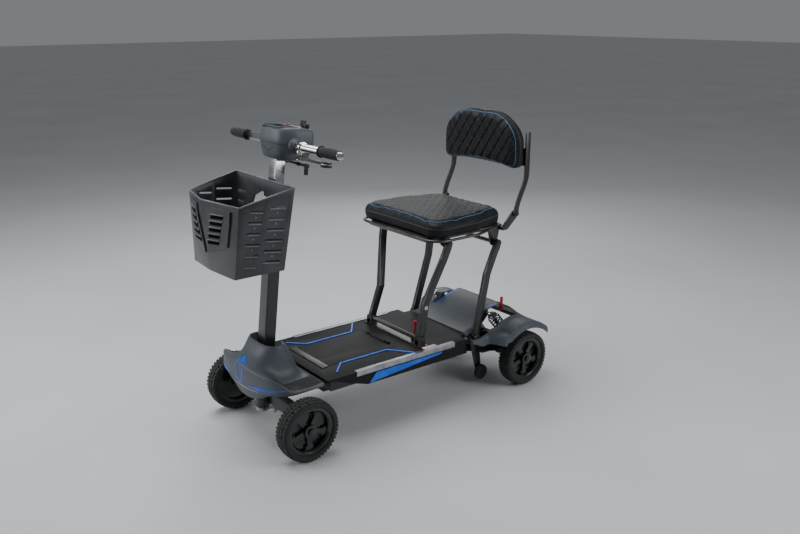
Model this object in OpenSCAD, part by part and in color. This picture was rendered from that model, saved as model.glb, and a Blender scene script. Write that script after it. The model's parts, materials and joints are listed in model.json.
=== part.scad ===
// Four-wheel folding mobility scooter: frame, steering, folding seat, tiller and suspension.
// Millimetres. The front is -Y, the rider's left is +X, up is +Z, and the ground is z = 0.

/* [Overall] */
// Distance between the front and the rear axle
wheelbase = 880; // [740:5:1060]
// Outer width of the deck
deck_w = 374; // [320:2:450]
// Height of the console above the tiller's fold hinge, along the column
tiller_len = 610; // [520:5:740]

/* [Wheels] */
// Outer diameter of each tyre
wheel_d = 190; // [160:2:228]
// Width of each tyre
tyre_w = 52; // [44:1:60]
// Diameter of the rim where the tyre sits
rim_d = 138; // [120:1:144]
// Number of spokes in each rim
spokes = 5; // [4:1:7]
// Diameter of each wheel spindle
spindle_d = 16; // [12:0.5:20]

/* [Steering] */
// Backward rake of the column and the kingpins, in degrees
rake = 6.7; // [3:0.1:12]
// Distance from a kingpin to its arm's end
arm_len = 45; // [38:1:54]
// Diameter of the kingpins
kingpin_d = 16; // [12:0.5:20]

/* [Tiller] */
// Width of the lower column tube, side to side
tube_w = 46; // [40:1:56]
// Depth of the lower column tube, front to back
tube_d = 38; // [32:1:46]
// Wall of the column tubes
tube_t = 3; // [2:0.5:4]
// Overall width of the handlebar over its grips
bar_w = 606; // [500:2:730]
// Diameter of the handlebar
bar_d = 22; // [18:0.5:26]
// Width of the console
console_w = 156; // [140:2:190]

/* [Seat] */
// Width of the seat cushion
seat_w = 430; // [380:5:520]
// Depth of the seat cushion, front to back
seat_depth = 345; // [300:5:415]
// Thickness of the seat cushion
seat_t = 50; // [40:1:60]
// Width of the backrest
back_w = 388; // [340:2:466]
// Height of the backrest pad
back_h = 196; // [160:2:236]
// Height of the seat pivots above the leg pivots
leg_rise = 317; // [270:1:350]
// Diameter of the leg pivot tubes
pivot_d = 14; // [10:0.5:16]

/* [Basket] */
// Width of the basket at its top
basket_w = 340; // [290:2:400]
// Height of the basket
basket_h = 236; // [200:1:280]
// Wall of the basket
basket_t = 3; // [2:0.5:4]

/* [Hidden] */
$fa = 6;
$fs = 1.2;
run = 0.05;          // radial running fit of pins, shafts and spindles
gap = 1;             // side gap between pieces that turn past each other
wheel_r = wheel_d / 2;
rear_y = wheelbase;
rear_tip = rear_y + wheel_r;

// Deck and frame heights and places
deck_z = wheel_d + 18;
deck_t = 12;
deck_x = deck_w / 2;
deck_y0 = 96;
deck_y1 = rear_y - 212;
rail_w = 30;
rail_h = 38;
rail_x = deck_x - 40;
rail_z1 = deck_z - deck_t;
rail_z0 = rail_z1 - rail_h;
rail_y0 = 122;
rail_y1 = rear_y - 220;

// Battery bay
lid_x = 96;
lid_y0 = 133;
lid_y1 = rear_y - 463;
lid_t = 6;
lid_gap = 1.5;
ledge = 9;
tray_t = 3;
tray_z0 = rail_z0 - 32;
lid_hinge = [lid_y1 + lid_gap, deck_z + 2.5];

// Steering geometry, in a frame whose z runs along the kingpins
front_track = deck_w + 70;
rear_track = deck_w + 64;
kp_x = front_track / 2 - 57;
kp_r = kingpin_d / 2;
boss_r = kp_r + 6;
boss_z0 = 10;
boss_z1 = 48;
stem_y = -24;
stem_r = 14;
arm_z0 = -16;
arm_z1 = -6;
rod_z0 = -28;
rod_z1 = -18;
link_pin_r = 4;
spindle_r = spindle_d / 2;
hinge_z = deck_z + 36;
hinge_h = (hinge_z - wheel_r + stem_y * sin(rake)) / cos(rake);
hinge_y = stem_y * cos(rake) + hinge_h * sin(rake);
headtube_z1 = hinge_h - 50;
hinge_r = 6;

// Wheel sections
hub_r = spindle_r + 13;
hub_w = 44;
rim_r = rim_d / 2;
rim_w = tyre_w - 10;

// Column and console
slide_fit = 0.3;
col_top = tiller_len - 80;
ext_w = tube_w - 2 * tube_t - 2 * slide_fit;
ext_d = tube_d - 2 * tube_t - 2 * slide_fit;
bar_r = bar_d / 2;
bar_y = 12;
con_y = 16;
con_h0 = 44;
con_h1 = 48;
con_t = 3;
bar_h = tiller_len + con_h0;
grip_l = 96;

// Basket, in the column's frame
bk_z0 = 313;
bk_back = tube_d / 2 + 20;
hook_z = [bk_z0 + 50, bk_z0 + basket_h - 98];
bk_drop = 56;
bk_prow = 196;

// Seat linkage: front pivots, rear pivots and their tops
leg_t = 14;
leg_d = 24;
pivot_r = pivot_d / 2;
leg_lean = 85;
f0_y = rear_y - 392;
f0_z = deck_z + 20;
r0_y = rear_y - 177;
r0_z = deck_z - 12;
f1_y = f0_y + leg_lean;
f1_z = f0_z + leg_rise;
r1_y = r0_y + leg_lean;
r1_z = r0_z + leg_rise;
f0_x = deck_x - 54;
r0_x = deck_x - 23;
top_x = seat_w / 2 - 45;
seat_z = f1_z + 28;
seat_y0 = f0_y - 4;
seat_y1 = seat_y0 + seat_depth;
seat_rail_x = top_x - 22;
seat_rail_r = 7;
seat_rail_z = seat_z - 11;
back_y = seat_y1 + 28;
back_z = seat_z + 32;
pad_z0 = back_z + 145;
pad_y = back_y - 8;
pad_t = 42;

// Rear end
gus_x = 112;
gus_t = 8;
swing_y = rear_y - 224;
swing_z = wheel_r + 55;
shock_x = 146;
sh_top = [rear_y - 88, wheel_r + 158];
sh_bot = [rear_y - 14, wheel_r + 74];
sh_len = norm(sh_bot - sh_top);
sh_tilt = atan2(sh_bot[0] - sh_top[0], sh_bot[1] - sh_top[1]);
sh_pin_r = 5;
open_fit = 1.2;
cover_t = 4;
cover_y0 = rear_y - 206;
cover_y1 = rear_y + 92;
cover_x = rear_track / 2 + tyre_w / 2 + 3;
guard_r = wheel_r + 41;

// The whole part is centred on its own length
front_tip = hinge_y - (bk_back + bk_prow) * cos(rake) + (bk_z0 + basket_h - bk_drop) * sin(rake);
y_mid = (front_tip + rear_tip) / 2;

black = [0.07, 0.07, 0.08];
dark = [0.16, 0.17, 0.18];
grey = [0.42, 0.45, 0.48];
silver = [0.78, 0.79, 0.8];
blue = [0.1, 0.36, 0.75];
red = [0.8, 0.08, 0.12];

// ---------- helpers ----------

// A box from one corner to the other
module slab(a, b) translate(a) cube(b - a);

// A cylinder along X between two stations, at a place in YZ
module xcyl(r, x0, x1, at = [0, 0])
  translate([x0, at[0], at[1]]) rotate([0, 90, 0]) cylinder(r = r, h = x1 - x0);

// A cylinder along Y between two stations, at a place in XZ
module ycyl(r, y0, y1, at = [0, 0])
  translate([at[0], y0, at[1]]) rotate([-90, 0, 0]) cylinder(r = r, h = y1 - y0);

// Puts +Z along the line from p to q, keeping local X in the XZ plane
module along(p, q) {
  v = q - p;
  translate(p) rotate([-asin(v[1] / norm(v)), atan2(v[0], v[2]), 0]) children();
}

// A square bar, w wide and d deep, from p to q
module bar(p, q, w, d) along(p, q) translate([-w / 2, -d / 2, 0]) cube([w, d, norm(q - p)]);

// A round rod from p to q
module rod(p, q, r) along(p, q) cylinder(r = r, h = norm(q - p));

module both() {
  children();
  mirror([1, 0, 0]) children();
}

// side = 1 is the rider's left, side = -1 the right
module on_side(side) {
  if (side > 0) children();
  else mirror([1, 0, 0]) children();
}

// A rectangle with round corners
module rrect(w, d, r) {
  square([w - 2 * r, d], center = true);
  square([w, d - 2 * r], center = true);
  for (x = [-1, 1], y = [-1, 1]) translate([x * (w / 2 - r), y * (d / 2 - r)]) circle(r = r);
}

// A flat plate in the YZ plane from x0 to x1
module yz_plate(x0, x1, pts)
  translate([x0, 0, 0]) rotate([90, 0, 90]) linear_extrude(x1 - x0) polygon(pts);

module centred() translate([0, -y_mid, 0]) children();

// The steering's frame: origin on the front axle, z along the kingpins
module steering() translate([0, 0, wheel_r]) rotate([-rake, 0, 0]) children();

// The column's frame: origin on the fold hinge, z up the column
module column() translate([0, hinge_y, hinge_z]) rotate([-rake, 0, 0]) children();

// A shock's frame: origin on its top eye, z down to its bottom eye
module shock(side) on_side(side)
  translate([shock_x, sh_top[0], sh_top[1]]) rotate([-sh_tilt, 0, 0]) children();

// A closed solid through rings of equally many points
module loft(rings) {
  n = len(rings[0]);
  m = len(rings);
  polyhedron(
    points = [for (r = rings) for (p = r) p],
    faces = concat(
      [for (i = [1:n - 2]) [0, i, i + 1]],
      [for (k = [0:m - 2]) for (i = [0:n - 1])
        let (a = k * n + i, b = k * n + (i + 1) % n) each [[a, a + n, b + n], [a, b + n, b]]],
      [for (i = [1:n - 2]) let (a = (m - 1) * n) [a, a + i + 1, a + i]]
    ));
}

// A coil of round wire about Z from z0 to z1
module coil(mean_r, r, turns, z0, z1, sides = 8, steps = 14) {
  last = round(turns * steps);
  rise = (z1 - z0) / last;
  tilt = atan2(rise, mean_r * 2 * PI / steps);
  loft([for (i = [0:last])
    let (a = 360 * i / steps, u = [cos(a), sin(a), 0],
         v = [sin(a) * sin(tilt), -cos(a) * sin(tilt), cos(tilt)])
    [for (k = [0:sides - 1])
      let (b = -360 * k / sides)
      mean_r * u + [0, 0, z0 + rise * i] + r * (cos(b) * u + sin(b) * v)]]);
}

// ---------- chassis ----------

module frame() color(black) {
  both() {
    slab([rail_x - rail_w / 2, rail_y0, rail_z0], [rail_x + rail_w / 2, rail_y1, rail_z1]);
    rear_gusset();
    xcyl(sh_pin_r - run, gus_x + gus_t, shock_x + 9, sh_top);
    xcyl(sh_pin_r + 3, shock_x + 6, shock_x + 10, sh_top);
    xcyl(pivot_r + 5, r0_x + leg_t / 2 + gap, r0_x + leg_t / 2 + gap + 4, [r0_y, r0_z]);
    anti_tip_arm();
  }
  slab([-rail_x, rail_y0, rail_z0], [rail_x, rail_y0 + 16, rail_z1]);
  slab([-rail_x, f0_y - 16, rail_z0], [rail_x, f0_y + 16, rail_z1]);
  slab([-rail_x, rail_y1 - 56, rail_z0], [rail_x, rail_y1 - 26, rail_z1]);
  xcyl(pivot_r, -r0_x - leg_t / 2 - gap - 2, r0_x + leg_t / 2 + gap + 2, [r0_y, r0_z]);
  xcyl(8, -gus_x - gus_t, gus_x + gus_t, [swing_y, swing_z]);
}

// The gusset's top edge runs just under the rear cover, up to the shock's notch
module rear_gusset() yz_plate(gus_x, gus_x + gus_t, concat(
  [[rail_y1 - 60, rail_z0 - 8], [swing_y - 16, swing_z - 18], [swing_y + 22, swing_z - 14],
   [rear_y - 150, wheel_r + 75], [sh_top[0] + 13, sh_top[1] - 13], [sh_top[0] + 11, sh_top[1] + 10],
   [sh_top[0] - 10, sh_top[1] + 12]],
  [for (j = [5:-1:1]) [cover_y(j), saddle(cover_y(j)) - cover_t - 0.3]],
  [[deck_y1 + 3, rail_z1], [rail_y1 - 60, rail_z1]]
));

// The small stabiliser wheel hangs from the gusset ahead of the rear wheel
tip_y = rear_y - 118;
tip_z = 42;
tip_r = 26;
module anti_tip_arm() {
  yz_plate(gus_x + gus_t, gus_x + gus_t + 4, [
    [rear_y - 165, wheel_r + 82], [rear_y - 125, wheel_r + 100], [tip_y + 12, tip_z + 2],
    [tip_y + 6, tip_z - 9], [tip_y - 6, tip_z - 9], [tip_y - 12, tip_z + 2]
  ]);
  xcyl(4, gus_x + gus_t + 2, gus_x + gus_t + 4 + gap + 18 + gap, [tip_y, tip_z]);
  xcyl(7, gus_x + gus_t + 4 + gap + 18 + gap, gus_x + gus_t + 4 + gap + 21 + gap, [tip_y, tip_z]);
}

module anti_tip_wheel(side) on_side(side) color(black) difference() {
  x0 = gus_x + gus_t + 4 + gap;
  union() {
    xcyl(tip_r - 3, x0, x0 + 18, [tip_y, tip_z]);
    xcyl(tip_r, x0 + 3, x0 + 15, [tip_y, tip_z]);
  }
  xcyl(4 + run, x0 - 1, x0 + 19, [tip_y, tip_z]);
}

module front_axle() color(black) difference() {
  union() {
    steering() {
      slab([-kp_x + 10, -15, 10], [kp_x - 10, 15, 46]);
      both() translate([kp_x, 0, boss_z0]) cylinder(r = boss_r, h = boss_z1 - boss_z0);
      translate([0, stem_y, -4]) cylinder(r = stem_r + 8, h = headtube_z1 + 4);
    }
    slab([-25, -14, wheel_r + 22], [25, 30, deck_z - 18]);
    slab([-30, -14, deck_z - 50], [30, rail_y0, deck_z - 18]);
  }
  steering() {
    translate([0, stem_y, -10]) cylinder(r = stem_r + run, h = headtube_z1 + 40);
    both() translate([kp_x, 0, 0]) cylinder(r = kp_r + run, h = 60);
  }
}

// Half-outline of the fairing's foot wings, from the middle of the nose round to the back
wing_x = deck_x - 1;
fair_t = 4;
collar_x = 74;
collar_z = deck_z + 99;

// One ring of the fairing's tower: half-width, front, back, height, bow and rise at the sides
function tower(w, y0, y1, z, drop = 0, rise = 0) =
  [for (p = tower_plan(w, y0, y1, drop)) [p[0], p[1], z + rise * pow(abs(p[0]) / w, 2)]];
function tower_plan(w, y0, y1, drop) = [
  [-w * 0.62, y1], [-w, y1 - (y1 - y0) * 0.28], [-w * 0.98, y0 + (y1 - y0) * 0.3],
  [-w * 0.72, y0 + (y1 - y0) * 0.08], [-w * 0.3, y0 - drop * 0.6], [0, y0 - drop],
  [w * 0.3, y0 - drop * 0.6], [w * 0.72, y0 + (y1 - y0) * 0.08],
  [w * 0.98, y0 + (y1 - y0) * 0.3], [w, y1 - (y1 - y0) * 0.28], [w * 0.62, y1]
];

module fairing_body(t) loft([
  tower(136 - t, -84 + t, 40 - t, deck_z - 66 - (t > 0 ? 1 : 0), -6, 42),
  tower(148 - t, -96 + t, 60 - t, deck_z - 14, -12),
  tower(132 - t, -84 + t, 76 - t, deck_z + 2, 0),
  tower(98 - t, -70 + t, 70 - t, deck_z + 40, 4),
  tower(82 - t, -54 + t, 48 - t, deck_z + 74, 8),
  tower(collar_x - t, -34 + t, 26 - t, collar_z + (t > 0 ? 1 : 0), 4)
]);

module front_fairing() color(grey) {
  difference() {
    fairing_body(0);
    fairing_body(fair_t);
    slab([-tube_w / 2 - 20, 0, deck_z + 12], [tube_w / 2 + 20, 90, collar_z + 5]);
    slab([-200, 30, deck_z - 100], [200, 90, deck_z - 14]);
  }
  difference() {
    both() foot_wing();
    fairing_body(fair_t);
  }
}

module foot_wing() translate([0, 0, deck_z - 14]) linear_extrude(6) polygon([
  [118, -78], [150, -74], [172, -52], [wing_x, -30], [wing_x, 60], [wing_x - 4, deck_y0 - 1],
  [wing_x - 4, deck_y0 + 18], [deck_x - 29, deck_y0 + 18], [deck_x - 29, deck_y0 - 1],
  [60, deck_y0 - 1], [60, 40], [118, 20]
]);

module foot_mat(side) on_side(side) color(black)
  translate([0, 0, deck_z - 8]) linear_extrude(5) polygon([
    [153, -40], [wing_x - 12, -22], [wing_x - 12, 56], [wing_x - 20, deck_y0 - 10],
    [84, deck_y0 - 10], [142, 44]
  ]);

// The blue ring on the nose: a six-sided outline that follows the slope
module fairing_ring() color(blue) difference() {
  intersection() {
    fairing_body(-2.5);
    translate([0, -50, deck_z + 18]) rotate([90, 0, 0]) linear_extrude(60) difference() {
      polygon([[-32, 45], [32, 45], [45, 20], [24, -26], [-24, -26], [-45, 20]]);
      polygon([[-26, 39], [26, 39], [37, 19], [19, -20], [-19, -20], [-37, 19]]);
    }
  }
  fairing_body(0);
}

module deck() color(black) {
  difference() {
    union() {
      slab([-deck_x, deck_y0 + 34, rail_z1], [deck_x, deck_y1, deck_z]);
      slab([-deck_x + 30, deck_y0, rail_z1], [deck_x - 30, deck_y0 + 34, deck_z]);
      both() slab([deck_x - 30, deck_y0, deck_z - 8], [deck_x, deck_y0 + 34, deck_z]);
      both() skirt();
    }
    slab([-lid_x - lid_gap, lid_y0 - lid_gap, deck_z - lid_t - 0.3],
         [lid_x + lid_gap, lid_y1 + lid_gap, deck_z + 5]);
    slab([-lid_x + ledge, lid_y0 + ledge, rail_z1 - 5], [lid_x - ledge, lid_y1 - ledge, deck_z + 5]);
    both() slab([r0_x - leg_t / 2 - 6, deck_y1 - 24, rail_z1 - 5], [deck_x + 5, deck_y1 + 5, deck_z + 5]);
    slab([-42, lid_hinge[0] - 2, deck_z - 2], [42, lid_hinge[0] + 5, deck_z + 5]);
  }
  difference() {
    both() {
      xcyl(3.5, 43, 60, lid_hinge);
      slab([43, lid_hinge[0] - 1, deck_z - 4], [60, lid_hinge[0] + 3.5, lid_hinge[1]]);
    }
    slab([-70, lid_hinge[0] - 5, deck_z - 10], [70, lid_hinge[0] - 0.2, lid_hinge[1] - 2.2]);
  }
  xcyl(1.5, -45, 45, lid_hinge);
}

// The deck's side, which deepens towards the middle
module skirt() yz_plate(deck_x - 4, deck_x, [
  [deck_y0 + 34, rail_z1 + 1], [deck_y0 + 70, rail_z1 - 14], [deck_y0 + 146, rail_z0],
  [deck_y1 - 20, rail_z0], [deck_y1 - 40, rail_z1 + 1]
]);

module side_strip(side) on_side(side) color(silver) {
  slab([deck_x - 14, deck_y0 + 104, deck_z], [deck_x + 2, deck_y1 - 76, deck_z + 2]);
  slab([deck_x, deck_y0 + 104, deck_z - 14], [deck_x + 2, deck_y1 - 76, deck_z + 2]);
}

module battery_tray() color(dark) difference() {
  union() {
    slab([-lid_x + 4, lid_y0 + 6, tray_z0], [lid_x - 4, lid_y1 - 6, rail_z1 - 4]);
    slab([-rail_x + rail_w / 2, lid_y0 + 30, rail_z1 - 4], [rail_x - rail_w / 2, lid_y1 - 6, rail_z1]);
  }
  slab([-lid_x + 4 + tray_t, lid_y0 + 6 + tray_t, tray_z0 + tray_t],
       [lid_x - 4 - tray_t, lid_y1 - 6 - tray_t, rail_z1 + 5]);
}

module battery_pack() color(dark) {
  x = lid_x - 4 - tray_t - 1;
  translate([0, (lid_y0 + lid_y1) / 2, tray_z0 + tray_t])
    linear_extrude(rail_z1 - 6 - tray_z0 - tray_t)
      rrect(2 * x, lid_y1 - lid_y0 - 14 - 2 * tray_t, 8);
}

module battery_lid() color(dark) {
  difference() {
    slab([-lid_x, lid_y0, deck_z - lid_t], [lid_x, lid_y1, deck_z]);
    slab([-34, lid_y0 + 8, deck_z - 3], [34, lid_y0 + 24, deck_z + 1]);
    both() slab([42, lid_hinge[0] - 6, deck_z - lid_t - 1], [62, lid_hinge[0] + 1, deck_z + 1]);
  }
  difference() {
    union() {
      xcyl(3.5, -40, 40, lid_hinge);
      slab([-40, lid_hinge[0] - 8, deck_z - 0.5], [40, lid_hinge[0], lid_hinge[1] + 2]);
    }
    xcyl(1.5 + run, -41, 41, lid_hinge);
  }
}

module controller() color(dark) {
  slab([-70, rail_y1 - 150, rail_z0 + 2], [70, rail_y1 - 60, rail_z1]);
  for (i = [0:6])
    slab([-66 + i * 20, rail_y1 - 146, rail_z0 - 6], [-62 + i * 20, rail_y1 - 64, rail_z0 + 2]);
}

// A cross channel on the deck that carries the front legs
module front_leg_bracket() color(black) {
  slab([-f0_x - 22, f0_y - 18, deck_z], [f0_x + 22, f0_y + 18, deck_z + 3]);
  both() for (s = [-1, 1]) {
    x = f0_x + s * (leg_t / 2 + gap + 2);
    yz_plate(x - 2, x + 2, [
      [f0_y - 15, deck_z + 2], [f0_y + 15, deck_z + 2], [f0_y + 12, f0_z + 10],
      [f0_y - 12, f0_z + 10]
    ]);
  }
  xcyl(pivot_r, -f0_x - leg_t / 2 - 8, f0_x + leg_t / 2 + 8, [f0_y, f0_z]);
  slab([78, f0_y + 6, deck_z + 2], [82, f0_y + 18, deck_z + 16]);
  xcyl(2.5 - run, 80, 91, lever_at);
  xcyl(4, 90, 92, lever_at);
}

lever_at = [f0_y + 12, deck_z + 11];
module release_lever() color(red) {
  difference() {
    union() {
      xcyl(5, 83, 89, lever_at);
      bar([86, lever_at[0], lever_at[1]], [86, lever_at[0] + 6, lever_at[1] + 50], 6, 7);
    }
    xcyl(2.5, 82, 90, lever_at);
  }
  translate([86, lever_at[0] + 6, lever_at[1] + 52]) sphere(r = 6);
}

// ---------- steering ----------

module steering_stem() steering() translate([0, stem_y, 0]) {
  color(silver) {
    translate([0, 0, arm_z0]) cylinder(r = stem_r, h = hinge_h - 38 - arm_z0);
    translate([0, 0, headtube_z1 + gap]) cylinder(r = stem_r + 6, h = hinge_h - 38 - headtube_z1);
    translate([0, 0, arm_z0]) cylinder(r = stem_r + 5, h = arm_z1 - arm_z0);
    slab([-10, 0, arm_z0], [10, arm_len, arm_z1]);
    translate([0, arm_len, arm_z0]) cylinder(r = 10, h = arm_z1 - arm_z0);
    link_pin([0, arm_len]);
  }
  color(black) {
    slab([-tube_w / 2 - 11, -18, hinge_h - 38], [tube_w / 2 + 11, 18, hinge_h - 32]);
    both() {
      slab([tube_w / 2 + gap, -18, hinge_h - 34], [tube_w / 2 + 9, 18, hinge_h]);
      xcyl(18, tube_w / 2 + gap, tube_w / 2 + 9, [0, hinge_h]);
    }
    xcyl(hinge_r, -tube_w / 2 - 13, tube_w / 2 + 13, [0, hinge_h]);
  }
}

// The pin under a steering arm that the tie rod turns on
module link_pin(at) translate([at[0], at[1], 0]) {
  translate([0, 0, rod_z0 - gap - 2]) cylinder(r = link_pin_r, h = arm_z0 + 1 - rod_z0 + gap + 2);
  translate([0, 0, rod_z0 - gap - 4]) cylinder(r = link_pin_r + 3, h = 4);
}

module knuckle(side) on_side(side) color(dark) {
  steering() {
    translate([kp_x, 0, arm_z0]) cylinder(r = kp_r, h = boss_z1 + 8 - arm_z0);
    translate([kp_x, 0, boss_z1 + gap]) cylinder(r = kp_r + 5, h = 6, $fn = 6);
    slab([kp_x - 14, -14, arm_z0], [kp_x + 18, 14, boss_z0 - gap]);
    slab([kp_x - 9, 0, arm_z0], [kp_x + 9, arm_len, arm_z1]);
    translate([kp_x, arm_len, arm_z0]) cylinder(r = 9, h = arm_z1 - arm_z0);
    link_pin([kp_x, arm_len]);
  }
  spindle(kp_x + 10, front_track / 2, [0, wheel_r], boss_r + gap - 10);
}

// A wheel spindle with a shoulder inside the hub and a nut outside it
module spindle(x0, wheel_x, at, neck = 0) {
  xcyl(spindle_r, x0, wheel_x + hub_w / 2 + gap + 5, at);
  xcyl(spindle_r + 4, x0 + neck, wheel_x - hub_w / 2 - gap, at);
  translate([wheel_x + hub_w / 2 + gap, at[0], at[1]])
    rotate([0, 90, 0]) cylinder(r = spindle_r + 3, h = 4, $fn = 6);
}

module tie_rod() steering() color(silver) difference() {
  y = arm_len;
  union() {
    slab([-kp_x, y - 6, rod_z0], [kp_x, y + 6, rod_z1]);
    both() translate([kp_x, y, rod_z0]) cylinder(r = 9, h = rod_z1 - rod_z0);
    slab([-9, y + stem_y, rod_z0], [9, y, rod_z1]);
    translate([0, y + stem_y, rod_z0]) cylinder(r = 9, h = rod_z1 - rod_z0);
  }
  for (p = [[-kp_x, y], [kp_x, y], [0, y + stem_y]])
    translate([p[0], p[1], rod_z0 - 1]) cylinder(r = link_pin_r + run, h = rod_z1 - rod_z0 + 2);
}

// ---------- wheels ----------

// A rim about the X axis, centred on its own middle, with its face on +X
module rim() rotate([0, 90, 0]) difference() {
  union() {
    rotate_extrude() polygon([
      [rim_r - 9, -rim_w / 2 + 3], [rim_r, -rim_w / 2], [rim_r + 5, -rim_w / 2],
      [rim_r + 5, -rim_w / 2 + 3], [rim_r, -rim_w / 2 + 5], [rim_r, rim_w / 2 - 5],
      [rim_r + 5, rim_w / 2 - 3], [rim_r + 5, rim_w / 2], [rim_r - 4, rim_w / 2],
      [rim_r - 9, rim_w / 2 - 6]
    ]);
    translate([0, 0, -hub_w / 2]) cylinder(r = hub_r, h = hub_w);
    for (i = [0:spokes - 1]) rotate(i * 360 / spokes) spoke();
    translate([0, 0, -6]) cylinder(r = rim_r - 5, h = 4);
  }
  translate([0, 0, -hub_w / 2 - 1]) cylinder(r = spindle_r + run, h = hub_w + 2);
}

module spoke() {
  translate([hub_r - 3, -8, -4]) cube([rim_r - 5 - hub_r + 3, 16, 14]);
  translate([rim_r - 22, -13, -4]) cube([16, 26, 12]);
}

// A tyre about the X axis with staggered shoulder blocks
lugs = 22;
module tyre() {
  r0 = rim_r + 0.1;
  w = tyre_w / 2;
  rotate([0, 90, 0]) difference() {
    rotate_extrude() polygon([
      [r0, -rim_w / 2 + 5.2], [r0 + 5, -rim_w / 2 + 3.2], [r0 + 5, -w + 6], [r0 + 9, -w + 1],
      [wheel_r - 11, -w], [wheel_r - 4, -w + 3], [wheel_r - 0.8, -w + 10], [wheel_r, -w + 18],
      [wheel_r, w - 18], [wheel_r - 0.8, w - 10], [wheel_r - 4, w - 3], [wheel_r - 11, w],
      [r0 + 9, w - 1], [r0 + 5, w - 6], [r0 + 5, rim_w / 2 - 3.2], [r0, rim_w / 2 - 5.2]
    ]);
    for (i = [0:lugs - 1], s = [-1, 1])
      rotate((i + s / 4) * 360 / lugs)
        translate([wheel_r - 5, -2.6, s > 0 ? w - 17 : -w - 1]) cube([10, 5.2, 18]);
  }
}

module at_wheel(side, y, track) on_side(side) translate([track / 2, y, wheel_r]) children();

// ---------- rear axle and suspension ----------

module transaxle() color(dark) {
  ax = [rear_y, wheel_r];
  difference() {
    union() {
      xcyl(17, -rear_track / 2 + 52, rear_track / 2 - 52, ax);
      xcyl(46, -44, 28, ax);
      xcyl(38, 28, 44, ax);
      ycyl(34, rear_y - 140, rear_y - 4, [-5, wheel_r]);
      ycyl(29, rear_y - 152, rear_y - 139, [-5, wheel_r]);
      both() {
        bar([gus_x - 8, swing_y, swing_z], [gus_x - 8, rear_y, wheel_r], 8, 26);
        xcyl(16, gus_x - 13, gus_x - 2, [swing_y, swing_z]);
        xcyl(21, gus_x - 13, gus_x - 2, ax);
        shock_foot();
      }
    }
    xcyl(8 + run, -gus_x, gus_x, [swing_y, swing_z]);
  }
  both() spindle(rear_track / 2 - 60, rear_track / 2, ax);
}

// Two ears on the axle tube with the shock's lower pin between them
module shock_foot() {
  for (x = [shock_x - 11, shock_x + 7]) yz_plate(x, x + 4, [
    [rear_y - 14, wheel_r + 4], [rear_y + 14, wheel_r + 4], [sh_bot[0] + 11, sh_bot[1]],
    [sh_bot[0] + 6, sh_bot[1] + 9], [sh_bot[0] - 6, sh_bot[1] + 9], [sh_bot[0] - 11, sh_bot[1]]
  ]);
  xcyl(sh_pin_r, shock_x - 14, shock_x + 14, sh_bot);
}

// Stations along a shock, from its top eye down
seat_a = 15;
seat_b = sh_len - 22;
module shock_body(side) shock(side) color(silver) difference() {
  union() {
    xcyl(10, -5, 5);
    translate([0, 0, 9]) cylinder(r = 8, h = seat_a - 3);
    translate([0, 0, seat_a - 5]) cylinder(r = 17, h = 5);
    translate([0, 0, seat_a]) cylinder(r = 8, h = sh_len - 66);
  }
  xcyl(sh_pin_r, -6, 6);
  translate([0, 0, seat_a + 16]) cylinder(r = 4.5 + run, h = sh_len);
}

module shock_rod(side) shock(side) color(dark) difference() {
  union() {
    translate([0, 0, sh_len - 62]) cylinder(r = 4.5, h = 62);
    translate([0, 0, seat_b]) cylinder(r = 17, h = 5);
    translate([0, 0, seat_b + 5]) cylinder(r = 6.4, h = 10);
    xcyl(10, -5, 5, [0, sh_len]);
  }
  xcyl(sh_pin_r + open_fit, -6, 6, [0, sh_len]);
}

coil_r = 13;
wire_r = 2.2;
coils = 5.5;
module shock_spring(side) shock(side) color(black)
  coil(coil_r, wire_r, coils, seat_a + wire_r + 0.1, seat_b - wire_r - 0.1);

// Height of the rear cover's outer face at a place in plan
function smooth(t) = let (c = max(0, min(1, t))) c * c * (3 - 2 * c);
function saddle(y) =
  let (t = (y - cover_y0) / (cover_y1 - cover_y0))
  deck_z + 2 + 54 * smooth(t / 0.62) - 60 * smooth((t - 0.66) / 0.34);
function guard(y) =
  let (d = y - rear_y)
  wheel_r + (abs(d) < guard_r ? sqrt(guard_r * guard_r - d * d) : 0);
function cover_z(x, y) =
  let (k = smooth((abs(x) - 128) / 60), low = deck_z - 6 - 10 * smooth((rear_y - 120 - y) / 60))
  saddle(y) * (1 - k) + max(guard(y), low) * k;

cover_nx = 26;
cover_ny = 18;
function cover_y(j) = cover_y0 + (cover_y1 - cover_y0) * j / cover_ny;
module rear_cover() {
  cover_lug();
  cover_panel();
}

module cover_panel() color(grey) difference() {
  cover_sheet();
  both() {
    // Narrow beside the deck, wide only over the wheels
    slab([deck_x + 4, cover_y0 - 5, rail_z0], [cover_x + 5, rear_y - 128, seat_z]);
    // Slot for the rear leg, open at the front
    slab([r0_x - leg_t / 2 - 14, cover_y0 - 5, rail_z0], [r0_x + leg_t / 2 + 8, r0_y + 50, seat_z]);
    // Notch for the shock
    slab([gus_x - 3, cover_y(5) - 2, rail_z0], [shock_x + 24, sh_bot[0] + 30, seat_z]);
  }
  slab([92, rear_y - 14, deck_z], [108, rear_y + 30, seat_z]);
}

// The slot's lug and pin for the freewheel lever
module cover_lug() color(dark) {
  yz_plate(88, 92, [[free_at[0] - 8, free_at[1] - 8], [free_at[0] + 8, free_at[1] - 8],
                    [free_at[0] + 10, free_at[1] + 18], [free_at[0] - 10, free_at[1] + 18]]);
  xcyl(3 - run, 90, 103, free_at);
  xcyl(5, 102, 104, free_at);
}

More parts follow.
